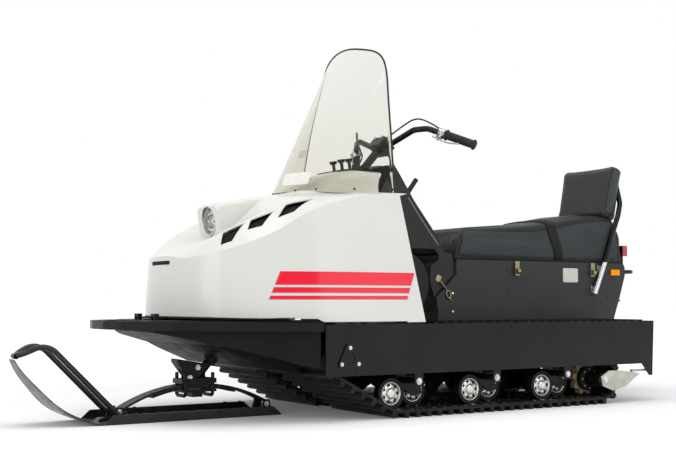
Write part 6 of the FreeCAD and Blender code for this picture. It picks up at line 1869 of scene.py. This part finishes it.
@dataclass
class Controls:
    """Ribbed grips, the held cables and the small parts of the handlebar."""

    outer: Place = (-0.1863, 0.387, 0.9462)
    inner: Place = (-0.1272, 0.2947, 0.9900)
    grip_radius: float = 0.0152
    ribs: int = 26
    rib_height: float = 0.0006
    ribbed: Pair = (0.1, 0.88)
    flange: Place = (0.0056, 0.02, 0.03)
    knob: Place = (0.0042, 0.95, 0.035)
    tip_from: float = 0.985
    tip_draw: float = 0.93
    cable_radius: float = 0.003
    perch_back: float = 0.017
    perch_half: float = 0.012
    perch: Outline = (
        (0.0125, 0), (0.0165, 0), (0.0178, 0.002), (0.0178, 0.022), (0.0165, 0.024), (0.0125, 0.024),
        (0.0125, 0),
    )
    block_form: tuple[float, ...] = (0.024, 0.018, 0.020, 0.25, 0.001)
    lever_out: Place = (0.62, 0.10, -0.62)
    lever_radius: float = 0.0032
    lever_bow: Pair = (0.029, 0.006)
    lever_run: Pair = (0.085, 0.006)
    lever_end: float = 0.010
    block_out: float = 0.010
    barrel_out: float = 0.026
    barrel_length: float = 0.026
    barrel_radius: float = 0.0045
    clamp_places: Outline = ((-0.06, 1.05), (-0.02, 1.03))
    clamp_side: float = 0.024
    clamp_head: Pair = (0.0055, 0.0055)
    route: tuple[Place, ...] = (
        (-0.1119, 0.2714, 1.0167), (-0.092, 0.235, 1.045), (-0.062, 0.195, 1.062), (-0.030, 0.150, 1.030),
        (-0.005, 0.104, 0.998), (0.013, 0.058, 0.966), (0.0284, 0.012, 0.9216), (0.0948, 0.012, 0.8468),
    )

    def grips(self) -> None:
        """Rubber grips with fine rings, a flange at the inner end and a knob at the outer.

        The radius is the grip's own plus rib height times |sin| along the ribbed part, plus two humps
        that fall off as exp(-(s / w)^4).
        """
        outer, inner = np.array(self.outer), np.array(self.inner)
        length = float(np.linalg.norm(outer - inner))
        share = np.linspace(0, 1, 140)
        start, end = self.ribbed
        ribbed = (share > start) & (share < end)
        radius = self.grip_radius + self.rib_height * np.abs(np.sin(share * self.ribs * math.pi)) * ribbed
        for height, middle, reach in (self.flange, self.knob):
            radius += height * np.exp(-(((share - middle) / reach) ** 4))
        radius = np.where(share > self.tip_from, radius * self.tip_draw, radius)
        profile = np.vstack(((0.0, 0.0), np.column_stack((radius, share * length)), (0.0, length)))
        form = placed(revolved(profile, 28), [self.inner], [tuple(outer - inner)])
        made = Maker.both("hand_grips", form, GRIP, "steering", "grip_rubber", 50.0)
        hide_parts("grips")

    def cable(self, side: int, node: str) -> None:
        """One held control cable as a smooth line through its route.

        Args:
            side: 1 on the left and -1 on the right.
            node: the CAD node that it stands for.
        """
        data = bpy.data.curves.new(f"control_{node}", "CURVE")
        data.dimensions = "3D"
        data.bevel_depth = self.cable_radius
        data.bevel_resolution = 3
        data.resolution_u = 16
        data.use_fill_caps = True
        line = data.splines.new("NURBS")
        line.points.add(len(self.route) - 1)
        for point, (x, y, z) in zip(line.points, self.route):
            point.co = (x, y * side, z, 1.0)
        line.order_u = 3
        line.use_endpoint_u = True
        made = linked(f"control_{node}", data)
        data.materials.append(CABLE.material())
        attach(made, "steering")
        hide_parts(node)
        LOG.info("control_%s: %d points on steering", node, len(self.route))

    def levers(self) -> None:
        """Alloy perches beside the grips: a clamp ring, a hinge block and a short curved lever.

        The lever's middle line leaves the hinge along the bar, with a bow of sin and an end drawn in by
        the square of its share.
        """
        inner, outer = np.array(self.inner), np.array(self.outer)
        axis = (outer - inner) / np.linalg.norm(outer - inner)
        middle = inner - axis * self.perch_back
        clamp = placed(revolved(self.perch, 28), [tuple(middle - axis * self.perch_half)], [tuple(axis)])
        ahead = np.array(self.lever_out)
        ahead -= axis * (ahead @ axis)
        ahead /= np.linalg.norm(ahead)
        block = placed(slab(*self.block_form), [tuple(middle + ahead * self.block_out)], [tuple(ahead)])
        share = np.linspace(0, 1, 30)[:, None]
        out, bow = self.lever_bow
        run, back = self.lever_run
        path = middle + ahead * (out + bow * np.sin(share * math.pi)) + axis * (share * run - back)
        lever = tube(path - ahead * self.lever_end * share**2, self.lever_radius, 10)
        reach = np.linspace(0.0, self.barrel_length, 8)[:, None]
        barrel = middle + ahead * self.barrel_out - axis * reach
        form = joined([clamp, block, lever, tube(barrel, self.barrel_radius, 12)])
        made = Maker.both("lever_perches", form, ALLOY, "steering", "black_metal", 40.0)
        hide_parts("hand_levers")

    def fittings(self) -> None:
        """Clamp bolts on the bar clamp."""
        near = [(x, y, z) for x, z in self.clamp_places for y in (-self.clamp_side, self.clamp_side)]
        spots, axes = seated(tree_of(NODES["bar_clamp"]), near)
        bolts = placed(hex_head(*self.clamp_head), spots, axes)
        Maker.piece("clamp_bolts", bolts, BOLT, "steering", "galvanised")

    def build(self) -> None:
        """Everything on the handlebar."""
        self.grips()
        self.cable(1, "cable_left")
        self.cable(-1, "cable_right")
        self.levers()
        self.fittings()


@dataclass
class SkiFittings:
    """The bolts of the spindle and the spring, and the ski's rivets."""

    spindle_places: tuple[Place, ...] = ((0.7569, 0.025, 0.1308), (0.728, 0.025, 0.165))
    eye_places: tuple[Place, ...] = ((0.470, 0.06, 0.032), (1.010, 0.06, 0.032))
    rivets_x: tuple[float, ...] = (0.50, 0.56, 0.90, 0.98)
    rivets_y: tuple[float, ...] = (0.03, 0.085)
    rivets_z: float = 0.05
    spindle_head: Pair = (0.0070, 0.0055)
    eye_head: Pair = (0.0068, 0.0055)
    rivet_head: Pair = (0.0055, 0.003)

    def build(self) -> None:
        """Hex bolts on the brackets and rivets on the ski's flanges."""
        bolts = on_side(hex_head(*self.spindle_head), list(self.spindle_places))
        Maker.both("spindle_bolts", bolts, BOLT, "steering", "galvanised")
        spots, axes = seated(tree_of(NODES["spring_brackets"]), list(self.eye_places))
        bolts = placed(hex_head(*self.eye_head), spots, axes)
        Maker.both("spring_eye_bolts", bolts, BOLT, "steering", "galvanised")
        near = [(x, y, self.rivets_z) for x in self.rivets_x for y in self.rivets_y]
        spots, axes = seated(tree_of(NODES["ski"]), near)
        rivets = placed(pan_head(*self.rivet_head), spots, axes)
        Maker.both("ski_rivets", rivets, SKI_BLACK, "steering", "ski_black")


def dress_nodes() -> None:
    """Gives every carried-over CAD node its finish."""
    for name, finish in NODE_FINISHES.items():
        node = NODES[name]
        node.data.materials.clear()
        node.data.materials.append(finish.material())
        LOG.info("%s dressed in %s", name, finish.name)


def main() -> None:
    """Builds the studio and every sub-assembly in order."""
    logging.basicConfig(level=logging.INFO, format="%(name)s: %(message)s")
    Studio().build()
    dress_nodes()
    RunningGear().build()
    HoodFittings().build()
    BoxFittings().build()
    Controls().build()
    SkiFittings().build()
    Bench().build()


if __name__ == "__main__":
    main()
